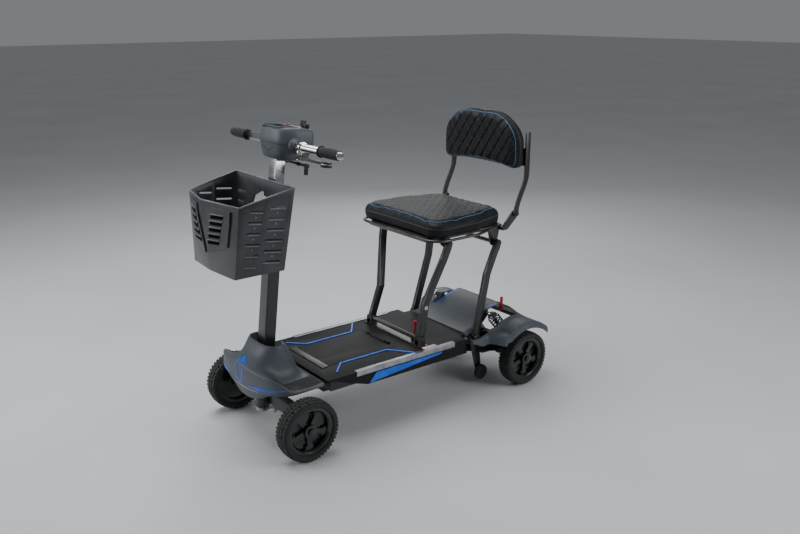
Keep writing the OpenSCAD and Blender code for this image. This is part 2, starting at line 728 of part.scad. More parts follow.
module cover_sheet() {
  xs = [for (i = [0:cover_nx]) cover_x * (2 * i / cover_nx - 1)];
  ys = [for (j = [0:cover_ny]) cover_y(j)];
  n = cover_nx + 1;
  m = cover_ny + 1;
  top = [for (y = ys) for (x = xs) [x, y, cover_z(x, y)]];
  low = [for (p = top) p - [0, 0, cover_t]];
  k = n * m;
  polyhedron(
    points = concat(top, low),
    faces = concat(
      [for (j = [0:m - 2]) for (i = [0:n - 2])
        let (a = j * n + i) each [[a, a + n, a + n + 1], [a, a + n + 1, a + 1]]],
      [for (j = [0:m - 2]) for (i = [0:n - 2])
        let (a = k + j * n + i) each [[a, a + n + 1, a + n], [a, a + 1, a + n + 1]]],
      [for (i = [0:n - 2]) each [[i, i + 1, k + i + 1], [i, k + i + 1, k + i]]],
      [for (i = [0:n - 2])
        let (a = (m - 1) * n + i) each [[a, k + a, k + a + 1], [a, k + a + 1, a + 1]]],
      [for (j = [0:m - 2])
        let (a = j * n) each [[a, k + a, k + a + n], [a, k + a + n, a + n]]],
      [for (j = [0:m - 2])
        let (a = j * n + n - 1) each [[a, a + n, k + a + n], [a, k + a + n, k + a]]]
    ));
}

// The drive's freewheel lever, which turns on a lug of the axle housing
free_at = [rear_y + 8, saddle(rear_y + 8) - 20];
module freewheel_lever() color(red) {
  difference() {
    union() {
      xcyl(7, 93, 101, free_at);
      bar([97, free_at[0], free_at[1]], [97, free_at[0] + 2, free_at[1] + 42], 7, 8);
    }
    xcyl(3, 92, 102, free_at);
  }
}

// ---------- tiller ----------

module tiller_tube() column() color(dark) difference() {
  union() {
    translate([0, 0, 18]) linear_extrude(col_top - 18) rrect(tube_w, tube_d, 4);
    slab([-tube_w / 2, -17, 0], [tube_w / 2, 17, 24]);
    xcyl(17, -tube_w / 2, tube_w / 2);
    slab([-tube_w / 2 - 4, -tube_d / 2 - 3, col_top - 34], [tube_w / 2 + 4, tube_d / 2 + 3, col_top]);
  }
  translate([0, 0, 60]) linear_extrude(tiller_len) rrect(tube_w - 2 * tube_t, tube_d - 2 * tube_t, 2);
  xcyl(hinge_r + run, -tube_w, tube_w);
  ycyl(4 + run, 0, tube_d, [0, col_top - 16]);
}

module height_knob() column() color(black) {
  ycyl(4, tube_d / 2 - tube_t - slide_fit + 0.2, tube_d / 2 + 16, [0, col_top - 16]);
  ycyl(16, tube_d / 2 + 8, tube_d / 2 + 22, [0, col_top - 16]);
  for (i = [0:5]) rotate_knob(i * 60) ycyl(4.6, tube_d / 2 + 8.5, tube_d / 2 + 21.5, [14, 0]);
}

module rotate_knob(a) translate([0, 0, col_top - 16]) rotate([0, a, 0]) children();

// Hooks on the column's front that the basket drops over
module basket_bracket() column() color(black) {
  y0 = -tube_d / 2;
  slab([-12, y0 - 3, hook_z[0] - 10], [12, y0, hook_z[1] + 10]);
  for (z = hook_z) {
    slab([-tube_w / 2, y0 - 3, z - 22], [tube_w / 2, y0, z + 22]);
    slab([-16, y0 - 14, z - 18], [16, y0 - 3, z - 4]);
    slab([-16, y0 - 18, z - 18], [16, y0 - 14, z + 14]);
  }
}

// Rings of the basket, in the column's frame: half-width, back, front, prow and height
function basket_ring(w, back, front, prow, z, zf) = [
  [-w, -back, z], [-w + 8, -back - (front - back) * 0.52, (z + zf) / 2], [-w + 16, -front, zf],
  [0, -prow, zf], [w - 16, -front, zf], [w - 8, -back - (front - back) * 0.52, (z + zf) / 2],
  [w, -back, z]
];

module basket_solid(t) {
  w = basket_w / 2 - t;
  z1 = bk_z0 + basket_h;
  loft([
    basket_ring(w * 0.84 + (t > 0 ? 0.6 : 0), bk_back + t, bk_back + 144 - t, bk_back + 156 - t,
                bk_z0 + t, bk_z0 + t - 23),
    basket_ring(w, bk_back + t, bk_back + 158 - t, bk_back + bk_prow - t,
                z1 + (t > 0 ? 2 : 0), z1 - bk_drop + (t > 0 ? 2 : 0))
  ]);
}

// Slots in each side of the basket: start behind the back panel, length, and lowest row
side_slots = [[18, 52, 26], [86, 40, 14]];
slot_rows = 6;
module basket() column() color(black) {
  difference() {
    basket_solid(0);
    basket_solid(basket_t);
    // Rows of slots in both sides
    both() for (s = side_slots, j = [0:slot_rows - 1])
      translate([basket_w / 2 - 60, -bk_back - s[0] - s[1], bk_z0 + s[2] + j * basket_h / 7.6])
        cube([70, s[1], 5]);
    // Window in the back panel
    translate([0, -bk_back + 5, bk_z0 + basket_h - 80]) rotate([90, 0, 0]) linear_extrude(16)
      polygon([[-56, 0], [56, 0], [44, 26], [0, 46], [-44, 26]]);
  }
  for (z = hook_z) basket_hook(z);
}

// A loop on the basket's back that slides down over one hook
module basket_hook(z) {
  y0 = -tube_d / 2;
  difference() {
    slab([-24, y0 - 20, z - 2], [24, y0 - 5, z + 12]);
    slab([-17, y0 - 18.5, z - 4], [17, y0 - 4, z + 15]);
  }
  slab([-24, y0 - 21, z - 2], [24, y0 - 19, z + 12]);
  slab([-24, y0 - 13.7, z - 3.7], [24, y0 - 10.7, z + 12]);
}

module tiller_extension() column() color(silver) difference() {
  translate([0, 0, col_top - 190]) linear_extrude(bar_h - 12 - col_top + 190)
    rrect(ext_w, ext_d, 2);
  translate([0, 0, col_top - 195]) linear_extrude(180) square([ext_w - 2 * tube_t, ext_d - 2 * tube_t], center = true);
}

// Plan of the console: a half-round front with straight sides
module console_plan(s) {
  r = console_w / 2 - s;
  translate([0, con_y]) {
    intersection() {
      circle(r = r);
      translate([-r, -0.66 * r]) square([2 * r, 2 * r]);
    }
    translate([-r, 0]) square([2 * r, 58 - s]);
  }
}

module console_solid(z0, z1, s0, s1) hull() {
  translate([0, 0, z0]) linear_extrude(0.5) console_plan(s0);
  translate([0, 0, z1 - 0.5]) linear_extrude(0.5) console_plan(s1);
}

module console_lower() column() translate([0, 0, tiller_len]) color(grey) difference() {
  union() {
    difference() {
      console_solid(0, con_h0 - 0.1, 14, 2);
      console_solid(con_t, con_h0 + 1, 14 + con_t, 2 + con_t);
    }
    translate([-ext_w / 2 - 5, -ext_d / 2 - 5, 0]) cube([ext_w + 10, ext_d + 10, con_h0 - bar_r - 6]);
    both() slab([console_w / 2 - 12, bar_y - 17, con_h0 - 18], [console_w / 2 + 4, bar_y + 17, con_h0 - 0.1]);
    both() slab([50, pad_at[0] - 8, pad_at[1] - 8], [58, pad_at[0] + 4, 2]);
  }
  xcyl(4 + run, -80, 80, pad_at);
  translate([0, 0, -5]) linear_extrude(con_h0) rrect(ext_w + 0.2, ext_d + 0.2, 2);
  xcyl(bar_r, -console_w, console_w, [bar_y, con_h0]);
}

module console_upper() column() translate([0, 0, tiller_len]) color(grey) difference() {
  union() {
    translate([0, 0, con_h0]) linear_extrude(con_h1 - 8) console_plan(0);
    translate([0, 0, con_h0 + con_h1 - 8]) linear_extrude(8) console_plan(5);
    both() slab([console_w / 2 - 12, bar_y - 17, con_h0], [console_w / 2 + 4, bar_y + 17, con_h0 + 15]);
  }
  translate([0, 0, con_h0 - 1]) linear_extrude(con_h1 - 13) console_plan(5 + con_t);
  xcyl(bar_r, -console_w, console_w, [bar_y, con_h0]);
  translate([0, 4, con_h0 + con_h1 - 8]) linear_extrude(20) rrect(92, 62, 14);
  for (p = [key_at, knob_at, horn_at])
    translate([p[0], p[1], con_h0 + con_h1 - 8]) cylinder(r = p[2] + 0.3, h = 20);
}

// Controls on the console's top: place and stem radius
key_at = [34, 58, 5];
knob_at = [56, 56, 4];
horn_at = [-48, 56, 6];

module display() column() translate([0, 4, tiller_len + con_h0 + con_h1 - 8]) color(black) {
  linear_extrude(4) rrect(91.6, 61.6, 13.8);
}

module ignition_key() column() translate([key_at[0], key_at[1], bar_h + con_h1]) {
  color(silver) translate([0, 0, -6]) cylinder(r = key_at[2], h = 12);
  color(black) translate([-1.5, -9, 5]) cube([3, 18, 16]);
}

module speed_knob() column() translate([knob_at[0], knob_at[1], bar_h + con_h1]) color(black) {
  translate([0, 0, -6]) cylinder(r = knob_at[2], h = 10);
  difference() {
    translate([0, 0, 0.5]) cylinder(r = 8, h = 12);
    translate([-0.7, 3, 8]) cube([1.4, 6, 6]);
  }
}

module horn_button() column() translate([horn_at[0], horn_at[1], bar_h + con_h1]) color(red)
  translate([0, 0, -5]) cylinder(r = horn_at[2], h = 9);

module handlebar() column() {
  color(silver) xcyl(bar_r, -bar_w / 2 + 3, bar_w / 2 - 3, [bar_y, bar_h]);
  color(black) {
    xcyl(bar_r + 4, brake_x - 9, brake_x + 9, [bar_y, bar_h]);
    translate([brake_x, brake_y, bar_h - bar_r - 11]) cylinder(r = 8, h = 12);
    translate([brake_x, brake_y, bar_h - bar_r - 25]) cylinder(r = 4, h = 25);
    translate([brake_x, brake_y, bar_h - bar_r - 27]) cylinder(r = 7, h = 4);
  }
}

module grip(side) column() on_side(side) color(black) difference() {
  x1 = bar_w / 2;
  union() {
    xcyl(bar_r + 4.5, x1 - grip_l, x1, [bar_y, bar_h]);
    xcyl(bar_r + 7, x1 - grip_l, x1 - grip_l + 4, [bar_y, bar_h]);
  }
  xcyl(bar_r, x1 - grip_l - 1, x1 - 3, [bar_y, bar_h]);
}

// A rocking paddle under the console, turned about X
pad_at = [50, -12];
module throttle_paddle() column() translate([0, 0, tiller_len]) color(dark) {
  xcyl(4, -86, 86, pad_at);
  both() {
    xcyl(6, 72, 86, pad_at);
    slab([74, pad_at[0] - 4, pad_at[1] - 26], [84, pad_at[0] + 4, pad_at[1]]);
    xcyl(6, 30, 40, pad_at);
  }
}

// The parking brake's lever under the left grip
brake_x = 108;
brake_y = bar_y - 6;
module brake_lever() column() translate([0, brake_y, bar_h]) color(black) {
  z = -bar_r - 22;
  difference() {
    union() {
      translate([brake_x, 0, z]) cylinder(r = 9, h = 10);
      slab([brake_x, -6, z + 1], [bar_w / 2 - 62, 6, z + 8]);
    }
    translate([brake_x, 0, z - 1]) cylinder(r = 4 + run, h = 12);
  }
  translate([bar_w / 2 - 56, 0, z - 4]) cylinder(r = 15, h = 14);
}

// ---------- seat ----------

// Legs bow in above the deck and out again under the seat
function leg_y(z, y0, z0) = y0 + leg_lean * (z - z0) / leg_rise;

module bent_leg(xs, hs, y0, z0, w, d) {
  pts = [for (i = [0:len(xs) - 1]) [xs[i], leg_y(z0 + hs[i], y0, z0), z0 + hs[i]]];
  for (i = [0:len(pts) - 2]) bar(pts[i], pts[i + 1], w, d);
  for (i = [1:len(pts) - 2]) translate(pts[i]) rotate([-atan2(leg_lean, leg_rise), 0, 0])
    translate([0, d / 2, 0]) rotate([90, 0, 0]) cylinder(r = w / 2, h = d);
  for (p = [pts[0], pts[len(pts) - 1]]) xcyl(d / 2, p[0] - w / 2, p[0] + w / 2, [p[1], p[2]]);
}

// Each pair of legs turns with the cross tube at its top
module top_tube(at) {
  xcyl(pivot_r, -top_x, top_x, at);
  both() xcyl(pivot_r + 3, top_x + leg_t / 2, top_x + leg_t / 2 + 3, at);
}

module front_legs() color(black) {
  front_leg_pair();
  top_tube([f1_y, f1_z]);
}

module rear_legs() color(black) {
  rear_leg_pair();
  top_tube([r1_y, r1_z]);
}

module front_leg_pair() difference() {
  both() bent_leg([f0_x, f0_x, f0_x - 11, top_x - 7, top_x, top_x],
                  [0, 16, 0.36 * leg_rise, 0.84 * leg_rise, leg_rise - 16, leg_rise],
                  f0_y, f0_z, leg_t, leg_d);
  xcyl(pivot_r + run, -deck_w, deck_w, [f0_y, f0_z]);
}

module rear_leg_pair() difference() {
  both() bent_leg([r0_x, r0_x, r0_x - 10, top_x - 4, top_x, top_x],
                  [0, 20, 0.66 * leg_rise, 0.9 * leg_rise, leg_rise - 16, leg_rise],
                  r0_y, r0_z, leg_t, leg_d);
  xcyl(pivot_r + run, -deck_w, deck_w, [r0_y, r0_z]);
}

module seat_frame() color(black) difference() {
  seat_frame_body();
  xcyl(pivot_r + run, -seat_w, seat_w, [f1_y, f1_z]);
  xcyl(pivot_r + run + 0.2, -seat_w, seat_w, [r1_y, r1_z]);
}

module seat_frame_body() {
  r = seat_rail_r;
  z = seat_rail_z;
  x = seat_rail_x;
  y0 = seat_y0 + 18;
  y1 = seat_y1 - 6;
  both() {
    rod([x, y0, z], [x, y1, z], r);
    translate([x, y0, z]) sphere(r = r);
    // Pivot plates for the legs
    for (p = [[f1_y, f1_z], [r1_y, r1_z]])
      yz_plate(x - 1, x + 6, [[p[0] - 26, z], [p[0] + 26, z], [p[0] + 13, p[1] - 7],
                              [p[0] + 6, p[1] - 13], [p[0] - 6, p[1] - 13], [p[0] - 13, p[1] - 7]]);
    // Backrest hinge plate
    slab([x, y1 - 20, z - 8], [top_x + 9, y1 - 6, z + 4]);
    yz_plate(top_x + 3, top_x + 9, [[y1 - 20, z - 8], [y1 + 2, z - 8], [back_y + 14, back_z - 10],
                                    [back_y + 14, back_z + 8], [back_y + 4, back_z + 14],
                                    [back_y - 10, back_z + 8], [y1 - 20, z + 4]]);
    xcyl(5, top_x + 8, top_x + 20, [back_y, back_z]);
    xcyl(8, top_x + 17, top_x + 20, [back_y, back_z]);
  }
  rod([-x, y0, z], [x, y0, z], r);
  rod([-x, y1 - 14, z], [x, y1 - 14, z], r);
  slab([-x, y0, z + r - 3], [x, y1 - 14, seat_z - 0.3]);
}

// Plan of the seat: two thigh lobes in front, narrower behind
module seat_plan() hull() {
  both() {
    translate([seat_w / 2 - 62, seat_y0 + 62]) circle(r = 52);
    translate([seat_w / 2 - 60, (seat_y0 + seat_y1) / 2]) circle(r = 60);
    translate([seat_w / 2 - 82, seat_y1 - 40]) circle(r = 40);
    translate([seat_w / 2 - 125, seat_y0 + 40]) circle(r = 40);
  }
}

module seat_cushion() color(grey)
  translate([0, 0, seat_z]) linear_extrude(seat_t) difference() {
    seat_plan();
    translate([0, seat_y0 - 62]) circle(r = 84);
  }

// Edge of the curved flat arm that runs from the hinge up behind the pad
arm_n = 14;
function arm_edge(t, off) = [
  back_y + (pad_y + pad_t + 10 - back_y) * smooth(t / 0.5) + off,
  back_z + (pad_z0 + back_h * 0.62 - back_z) * t
];

module backrest_frame() color(black) {
  x = top_x + 13;
  y2 = pad_y + pad_t;
  both() {
    difference() {
      union() {
        xcyl(11, x - 3, x + 3, [back_y, back_z]);
        yz_plate(x - 3, x + 3, concat([for (i = [0:arm_n]) arm_edge(i / arm_n, 10)],
                                      [for (i = [arm_n:-1:0]) arm_edge(i / arm_n, -10)]));
        slab([x - 30, y2, pad_z0 + 10], [x + 3, y2 + 5, pad_z0 + 70]);
      }
      xcyl(5 + run, x - 4, x + 4, [back_y, back_z]);
    }
  }
  slab([-x, y2, pad_z0 + 20], [x, y2 + 5, pad_z0 + 60]);
}

module backrest_pad() color(dark)
  translate([0, pad_y + pad_t - 0.3, pad_z0]) rotate([90, 0, 0]) linear_extrude(pad_t) hull() {
    both() {
      translate([back_w / 2 - 36, 26]) circle(r = 26);
      polygon([for (a = [0:6:90]) [back_w * (0.5 - 0.4 * (1 - cos(a))), back_h * (1 - 0.6 * (1 - sin(a)))]]);
    }
  }

// ---------- the nodes ----------

centred() {
  frame();
  front_axle();
  front_fairing();
  fairing_ring();
  foot_mat(1);  // foot_mat_left
  foot_mat(-1);  // foot_mat_right
  deck();
  side_strip(1);  // side_strip_left
  side_strip(-1);  // side_strip_right
  battery_tray();
  battery_pack();
  battery_lid();
  controller();
  front_leg_bracket();
  release_lever();
  rear_cover();
  freewheel_lever();
  steering_stem();
  knuckle(1);  // knuckle_left
  knuckle(-1);  // knuckle_right
  tie_rod();
  at_wheel(1, 0, front_track) color(black) rim();  // front_rim_left
  at_wheel(1, 0, front_track) color(dark) tyre();  // front_tyre_left
  at_wheel(-1, 0, front_track) color(black) rim();  // front_rim_right
  at_wheel(-1, 0, front_track) color(dark) tyre();  // front_tyre_right
  at_wheel(1, rear_y, rear_track) color(black) rim();  // rear_rim_left
  at_wheel(1, rear_y, rear_track) color(dark) tyre();  // rear_tyre_left
  at_wheel(-1, rear_y, rear_track) color(black) rim();  // rear_rim_right
  at_wheel(-1, rear_y, rear_track) color(dark) tyre();  // rear_tyre_right
  transaxle();
  shock_body(1);  // shock_body_left
  shock_body(-1);  // shock_body_right
  shock_rod(1);  // shock_rod_left
  shock_rod(-1);  // shock_rod_right
  shock_spring(1);  // shock_spring_left
  shock_spring(-1);  // shock_spring_right
  anti_tip_wheel(1);  // anti_tip_wheel_left
  anti_tip_wheel(-1);  // anti_tip_wheel_right
  tiller_tube();
  height_knob();
  basket_bracket();
  basket();
  tiller_extension();
  console_lower();
  console_upper();
  display();
  handlebar();
  grip(1);  // grip_left
  grip(-1);  // grip_right
  ignition_key();
  speed_knob();
  horn_button();
  throttle_paddle();
  brake_lever();
  front_legs();
  rear_legs();
  seat_frame();
  seat_cushion();
  backrest_frame();
  backrest_pad();
}
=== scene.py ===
"""Four-wheel folding mobility scooter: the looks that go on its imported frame."""
import json
import math

import bmesh
import bpy
from mathutils import Matrix, Vector
from mathutils.bvhtree import BVHTree

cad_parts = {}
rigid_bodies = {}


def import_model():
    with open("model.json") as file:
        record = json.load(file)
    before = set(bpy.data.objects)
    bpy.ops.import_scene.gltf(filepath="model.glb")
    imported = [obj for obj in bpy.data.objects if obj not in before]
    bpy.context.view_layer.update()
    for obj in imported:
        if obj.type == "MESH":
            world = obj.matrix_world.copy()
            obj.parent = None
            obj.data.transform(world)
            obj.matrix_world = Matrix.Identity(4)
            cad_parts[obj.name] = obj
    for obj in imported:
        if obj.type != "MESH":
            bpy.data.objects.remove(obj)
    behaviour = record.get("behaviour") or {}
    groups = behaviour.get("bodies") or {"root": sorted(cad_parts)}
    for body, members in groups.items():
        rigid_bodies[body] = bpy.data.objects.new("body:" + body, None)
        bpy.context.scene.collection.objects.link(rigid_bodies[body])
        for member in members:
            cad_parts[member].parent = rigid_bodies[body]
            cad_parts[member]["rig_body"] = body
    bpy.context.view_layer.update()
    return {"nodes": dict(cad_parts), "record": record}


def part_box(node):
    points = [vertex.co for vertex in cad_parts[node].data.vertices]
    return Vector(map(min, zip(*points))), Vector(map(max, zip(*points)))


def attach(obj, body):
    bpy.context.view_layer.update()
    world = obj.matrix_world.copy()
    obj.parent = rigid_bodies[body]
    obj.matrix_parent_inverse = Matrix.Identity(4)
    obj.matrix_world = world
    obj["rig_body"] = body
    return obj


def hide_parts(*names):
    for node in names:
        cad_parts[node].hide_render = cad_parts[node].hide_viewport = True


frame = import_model()

MM = 0.001
RAKE = math.radians(6.7)


def middle(node):
    lo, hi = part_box(node)
    return (lo + hi) / 2


FRONT_AXLE_Y = middle("front_rim_left").y
REAR_Y = (middle("rear_rim_left").y - FRONT_AXLE_Y) / MM


def at(x, y, z):
    """A place given in mm, with y from the front axle, as a point of the row's frame."""
    return Vector((x * MM, y * MM + FRONT_AXLE_Y, z * MM))


HINGE = at(0, -6.66, 244)
UP = Vector((0, math.sin(RAKE), math.cos(RAKE)))
BACK = Vector((0, math.cos(RAKE), -math.sin(RAKE)))


def col(x, y, z):
    """A place in the tiller column's frame, in mm from its fold hinge."""
    return HINGE + Vector((x * MM, 0, 0)) + BACK * (y * MM) + UP * (z * MM)


# ---------- camera, light and floor ----------

# Where it stands, in mm, and how far it looks down, leans and turns, in degrees
CAMERA_PLACE = (2165.2, -1158.6, 1264.7)
LOOKS_DOWN, LEANS, TURNS = 16.81, 0.05, 52.37

cam = bpy.data.objects.new("camera", bpy.data.cameras.new("camera"))
bpy.context.scene.collection.objects.link(cam)
cam.location = at(*CAMERA_PLACE)
cam.rotation_euler = (math.radians(90 - LOOKS_DOWN), math.radians(LEANS), math.radians(TURNS))
cam.data.lens = 38.7
cam.data.sensor_width = 36
cam.data.clip_end = 100
bpy.context.scene.camera = cam


def softbox(name, place, aim, size, power):
    light = bpy.data.lights.new(name, "AREA")
    light.shape = "RECTANGLE"
    light.size, light.size_y = size
    light.energy = power
    obj = bpy.data.objects.new(name, light)
    bpy.context.scene.collection.objects.link(obj)
    obj.location = place
    obj.rotation_mode = "QUATERNION"
    obj.rotation_quaternion = (Vector(aim) - Vector(place)).to_track_quat("-Z", "Y")


softbox("key_softbox", (-0.6, -0.5, 2.9), (0, 0, 0.3), (2.2, 1.8), 70)
softbox("side_softbox", (2.4, 1.4, 1.7), (0, 0.1, 0.4), (1.6, 1.4), 34)
softbox("front_softbox", (-1.6, -2.6, 1.5), (0, -0.3, 0.5), (1.8, 1.2), 34)
softbox("rim_softbox", (-2.2, 1.8, 1.6), (0, 0.2, 0.5), (1.4, 1.4), 13)

world = bpy.data.worlds.new("studio")
world.use_nodes = True
world.node_tree.nodes["Background"].inputs["Color"].default_value = (0.62, 0.64, 0.67, 1)
world.node_tree.nodes["Background"].inputs["Strength"].default_value = 0.32
bpy.context.scene.world = world


# ---------- materials ----------


def linear(hex_colour):
    """An sRGB hex colour as linear light."""
    parts = [int(hex_colour[i : i + 2], 16) / 255 for i in (1, 3, 5)]
    return [c / 12.92 if c <= 0.04045 else ((c + 0.055) / 1.055) ** 2.4 for c in parts] + [1]


def add_node(tree, kind, settings=None, **links):
    """Adds a node, sets its properties and sockets, and links its inputs."""
    node = tree.nodes.new(kind)
    for key, value in (settings or {}).items():
        if key in node.inputs:
            node.inputs[key].default_value = value
        else:
            setattr(node, key, value)
    for key, socket in links.items():
        tree.links.new(socket, node.inputs[key.replace("_", " ")])
    return node


def new_material(name, **sockets):
    mat = bpy.data.materials.new(name)
    mat.use_nodes = True
    tree = mat.node_tree
    shader = tree.nodes["Principled BSDF"]
    for key, value in sockets.items():
        shader.inputs[key.replace("_", " ")].default_value = value
    coords = add_node(tree, "ShaderNodeTexCoord").outputs["Object"]
    return mat, tree, shader, coords


def patches(tree, shader, coords, colours, size_mm, detail=3):
    """Slow change between two colours, over patches of a real size."""
    patch = add_node(tree, "ShaderNodeTexNoise",
                     {"Scale": 1000 / size_mm, "Detail": detail, "Roughness": 0.55}, Vector=coords)
    blend = add_node(tree, "ShaderNodeValToRGB", Fac=patch.outputs["Fac"])
    for stop, place, colour in zip(blend.color_ramp.elements, (0.34, 0.66), colours):
        stop.position, stop.color = place, linear(colour)
    tree.links.new(blend.outputs["Color"], shader.inputs["Base Color"])
    return patch.outputs["Fac"]


def finish(tree, shader, coords, colours, size_mm, rough, height, depth_mm, strength=1.0, detail=3):
    """Patches of colour with a spread of roughness that follows them, over a fine relief."""
    span = add_node(tree, "ShaderNodeMapRange", {"To Min": rough[0], "To Max": rough[1]},
                    Value=patches(tree, shader, coords, colours, size_mm, detail))
    relief = add_node(tree, "ShaderNodeBump", {"Distance": depth_mm * MM, "Strength": strength},
                      Height=height)
    tree.links.new(span.outputs["Result"], shader.inputs["Roughness"])
    tree.links.new(relief.outputs["Normal"], shader.inputs["Normal"])


def moulded(name, dark, light, rough, grain_mm, depth_mm, coat=0.0, shine=0.5):
    """Injection-moulded ABS: an even colour with a fine spark-eroded grain."""
    mat, tree, shader, coords = new_material(name, IOR=1.53, Coat_Weight=coat,
                                             Coat_Roughness=0.18, Specular_IOR_Level=shine)
    grain = add_node(tree, "ShaderNodeTexNoise",
                     {"Scale": 1000 / grain_mm, "Detail": 4, "Roughness": 0.6}, Vector=coords)
    finish(tree, shader, coords, (dark, light), 90, rough, grain.outputs["Fac"], depth_mm)
    return mat


def coated(name, dark, light, rough, peel_mm=2.2, depth_mm=0.05):
    """Powder coat on steel: satin, with the faint orange peel of baked paint."""
    mat, tree, shader, coords = new_material(name, IOR=1.5, Coat_Weight=0.35,
                                             Coat_Roughness=0.22)
    peel = add_node(tree, "ShaderNodeTexNoise",
                    {"Scale": 1000 / peel_mm, "Detail": 2, "Roughness": 0.4}, Vector=coords)
    finish(tree, shader, coords, (dark, light), 60, rough, peel.outputs["Fac"], depth_mm)
    return mat


def metal(name, dark, light, rough, brushed=(1, 1, 1), line_mm=0.8, depth_mm=0.02):
    """Bare metal: fine tooling lines along one direction, and a little uneven polish."""
    mat, tree, shader, coords = new_material(name, Metallic=1.0)
    turn = add_node(tree, "ShaderNodeMapping", {"Scale": brushed}, Vector=coords)
    lines = add_node(tree, "ShaderNodeTexNoise",
                     {"Scale": 1000 / line_mm, "Detail": 3}, Vector=turn.outputs["Vector"])
    finish(tree, shader, coords, (dark, light), 40, rough, lines.outputs["Fac"], depth_mm)
    return mat


def rubber(name, dark, light, rough, pore_mm, depth_mm):
    """Moulded rubber: dull, a little dusty, with a soft pore."""
    mat, tree, shader, coords = new_material(name, IOR=1.52, Sheen_Weight=0.12,
                                             Sheen_Roughness=0.5)
    pores = add_node(tree, "ShaderNodeTexNoise",
                     {"Scale": 1000 / pore_mm, "Detail": 5, "Roughness": 0.65}, Vector=coords)
    finish(tree, shader, coords, (dark, light), 24, rough, pores.outputs["Fac"], depth_mm, detail=6)
    return mat


def vinyl(name, dark, light):
    """Soft vinyl leather: pebbled cells about 1.6 mm wide, creased between, with a low sheen."""
    mat, tree, shader, coords = new_material(name, IOR=1.5, Coat_Weight=0.04,
                                             Coat_Roughness=0.35, Specular_IOR_Level=0.2)
    wobble = add_node(tree, "ShaderNodeTexNoise", {"Scale": 180.0, "Detail": 3}, Vector=coords)
    push = add_node(tree, "ShaderNodeVectorMath", {"operation": "MULTIPLY_ADD"})
    tree.links.new(wobble.outputs["Color"], push.inputs[0])
    push.inputs[1].default_value = (0.0012, 0.0012, 0.0012)
    tree.links.new(coords, push.inputs[2])
    cells = add_node(tree, "ShaderNodeTexVoronoi",
                     {"feature": "DISTANCE_TO_EDGE", "Scale": 1000 / 1.6},
                     Vector=push.outputs["Vector"])
    crease = add_node(tree, "ShaderNodeMapRange", {"From Max": 0.12}, Value=cells.outputs["Distance"])
    finish(tree, shader, coords, (dark, light), 45, (0.46, 0.6), crease.outputs["Result"], 0.12, 0.7)
    return mat


def painted(name, dark, light, rough=(0.34, 0.46), **sockets):
    """Glossy coloured plastic or paint with a thin clear layer and a slight ripple."""
    mat, tree, shader, coords = new_material(name, IOR=1.5, Coat_Weight=0.12,
                                             Coat_Roughness=0.2, Specular_IOR_Level=0.3, **sockets)
    ripple = add_node(tree, "ShaderNodeTexNoise", {"Scale": 350.0, "Detail": 2}, Vector=coords)
    finish(tree, shader, coords, (dark, light), 30, rough, ripple.outputs["Fac"], 0.02)
    return mat


def stitched(name, dark, light, pitch_mm):
    """Twisted polyester thread: bright and dark turns along its length."""
    mat, tree, shader, coords = new_material(name, IOR=1.5, Sheen_Weight=0.3)
    twist = add_node(tree, "ShaderNodeTexWave", {"Scale": 1000 / pitch_mm / 6, "Distortion": 1.5},
                     Vector=coords)
    finish(tree, shader, coords, (dark, light), pitch_mm, (0.5, 0.7), twist.outputs["Fac"], 0.2)
    return mat


M = {
    "frame_paint": coated("black_powder_coat", "#101113", "#1A1B1E", (0.34, 0.46)),
    "steel": metal("turned_steel", "#8C8F93", "#A9ACB0", (0.28, 0.4), (1, 1, 0.05)),
    "chrome_bar": metal("plated_bar", "#B9BBBE", "#D6D8DA", (0.1, 0.2), (0.05, 1, 1), 0.6, 0.006),
    "silver_trim": metal("anodised_edge", "#8E9196", "#B0B3B8", (0.3, 0.42), (1, 0.05, 1)),
    "grey_shell": moulded("grey_moulded_abs", "#474D54", "#545B63", (0.44, 0.56), 0.9, 0.05, 0.05, 0.4),
    "black_plastic": moulded("black_moulded_abs", "#131416", "#1D1E21", (0.42, 0.56), 1.1, 0.07),
    "grip_rubber": rubber("black_grip_rubber", "#0E0F10", "#1A1B1C", (0.62, 0.8), 0.9, 0.12),
    "tyre_rubber": rubber("tyre_rubber", "#121314", "#232425", (0.66, 0.86), 1.6, 0.2),
    "blue_trim": painted("blue_gloss_trim", "#0D55CC", "#1A72EC"),
    "red_plastic": painted("red_moulded_lever", "#A30A16", "#C4121F"),
    "seat_leather": vinyl("black_vinyl_leather", "#111214", "#1B1C1F"),
    "screen": painted("dark_display_lens", "#050608", "#0B0C10", (0.06, 0.12)),
    "spring_steel": coated("black_spring_enamel", "#17181A", "#26282B", (0.18, 0.28)),
}
DECK_SKIN = moulded("deck_leather_grain_sheet", "#0B0C0D", "#131416", (0.5, 0.66), 1.8, 0.16, 0, 0.25)
BLUE_PIPING = stitched("blue_piping_thread", "#1F6CA6", "#3A97CF", 1.6)
BLACK_THREAD = stitched("black_seat_thread", "#08090A", "#1C1D20", 1.6)
CABLE_METAL = metal("bright_cable_sleeve", "#9A9DA0", "#C9CBCE", (0.2, 0.3))
BRASS = metal("brass_terminal", "#8A6A2C", "#B48C3E", (0.25, 0.38))
RIM_GLOSS = coated("gloss_black_rim", "#090A0B", "#121315", (0.14, 0.24), 3.0, 0.02)
GUNMETAL = metal("gunmetal_trim", "#4B4A48", "#625F5B", (0.32, 0.44), (0.05, 1, 1))


# ---------- making pieces ----------


def none_selected():
    if bpy.context.object and bpy.context.object.mode != "OBJECT":
        bpy.ops.object.mode_set(mode="OBJECT")
    for o in list(bpy.context.selected_objects):
        o.select_set(False)


def pick(obj):
    none_selected()
    bpy.context.view_layer.objects.active = obj
    obj.select_set(True)
    return obj


def settle(obj):
    """Puts an object's place into its mesh."""
    pick(obj)
    bpy.ops.object.transform_apply(location=True, rotation=True, scale=True)
    return obj


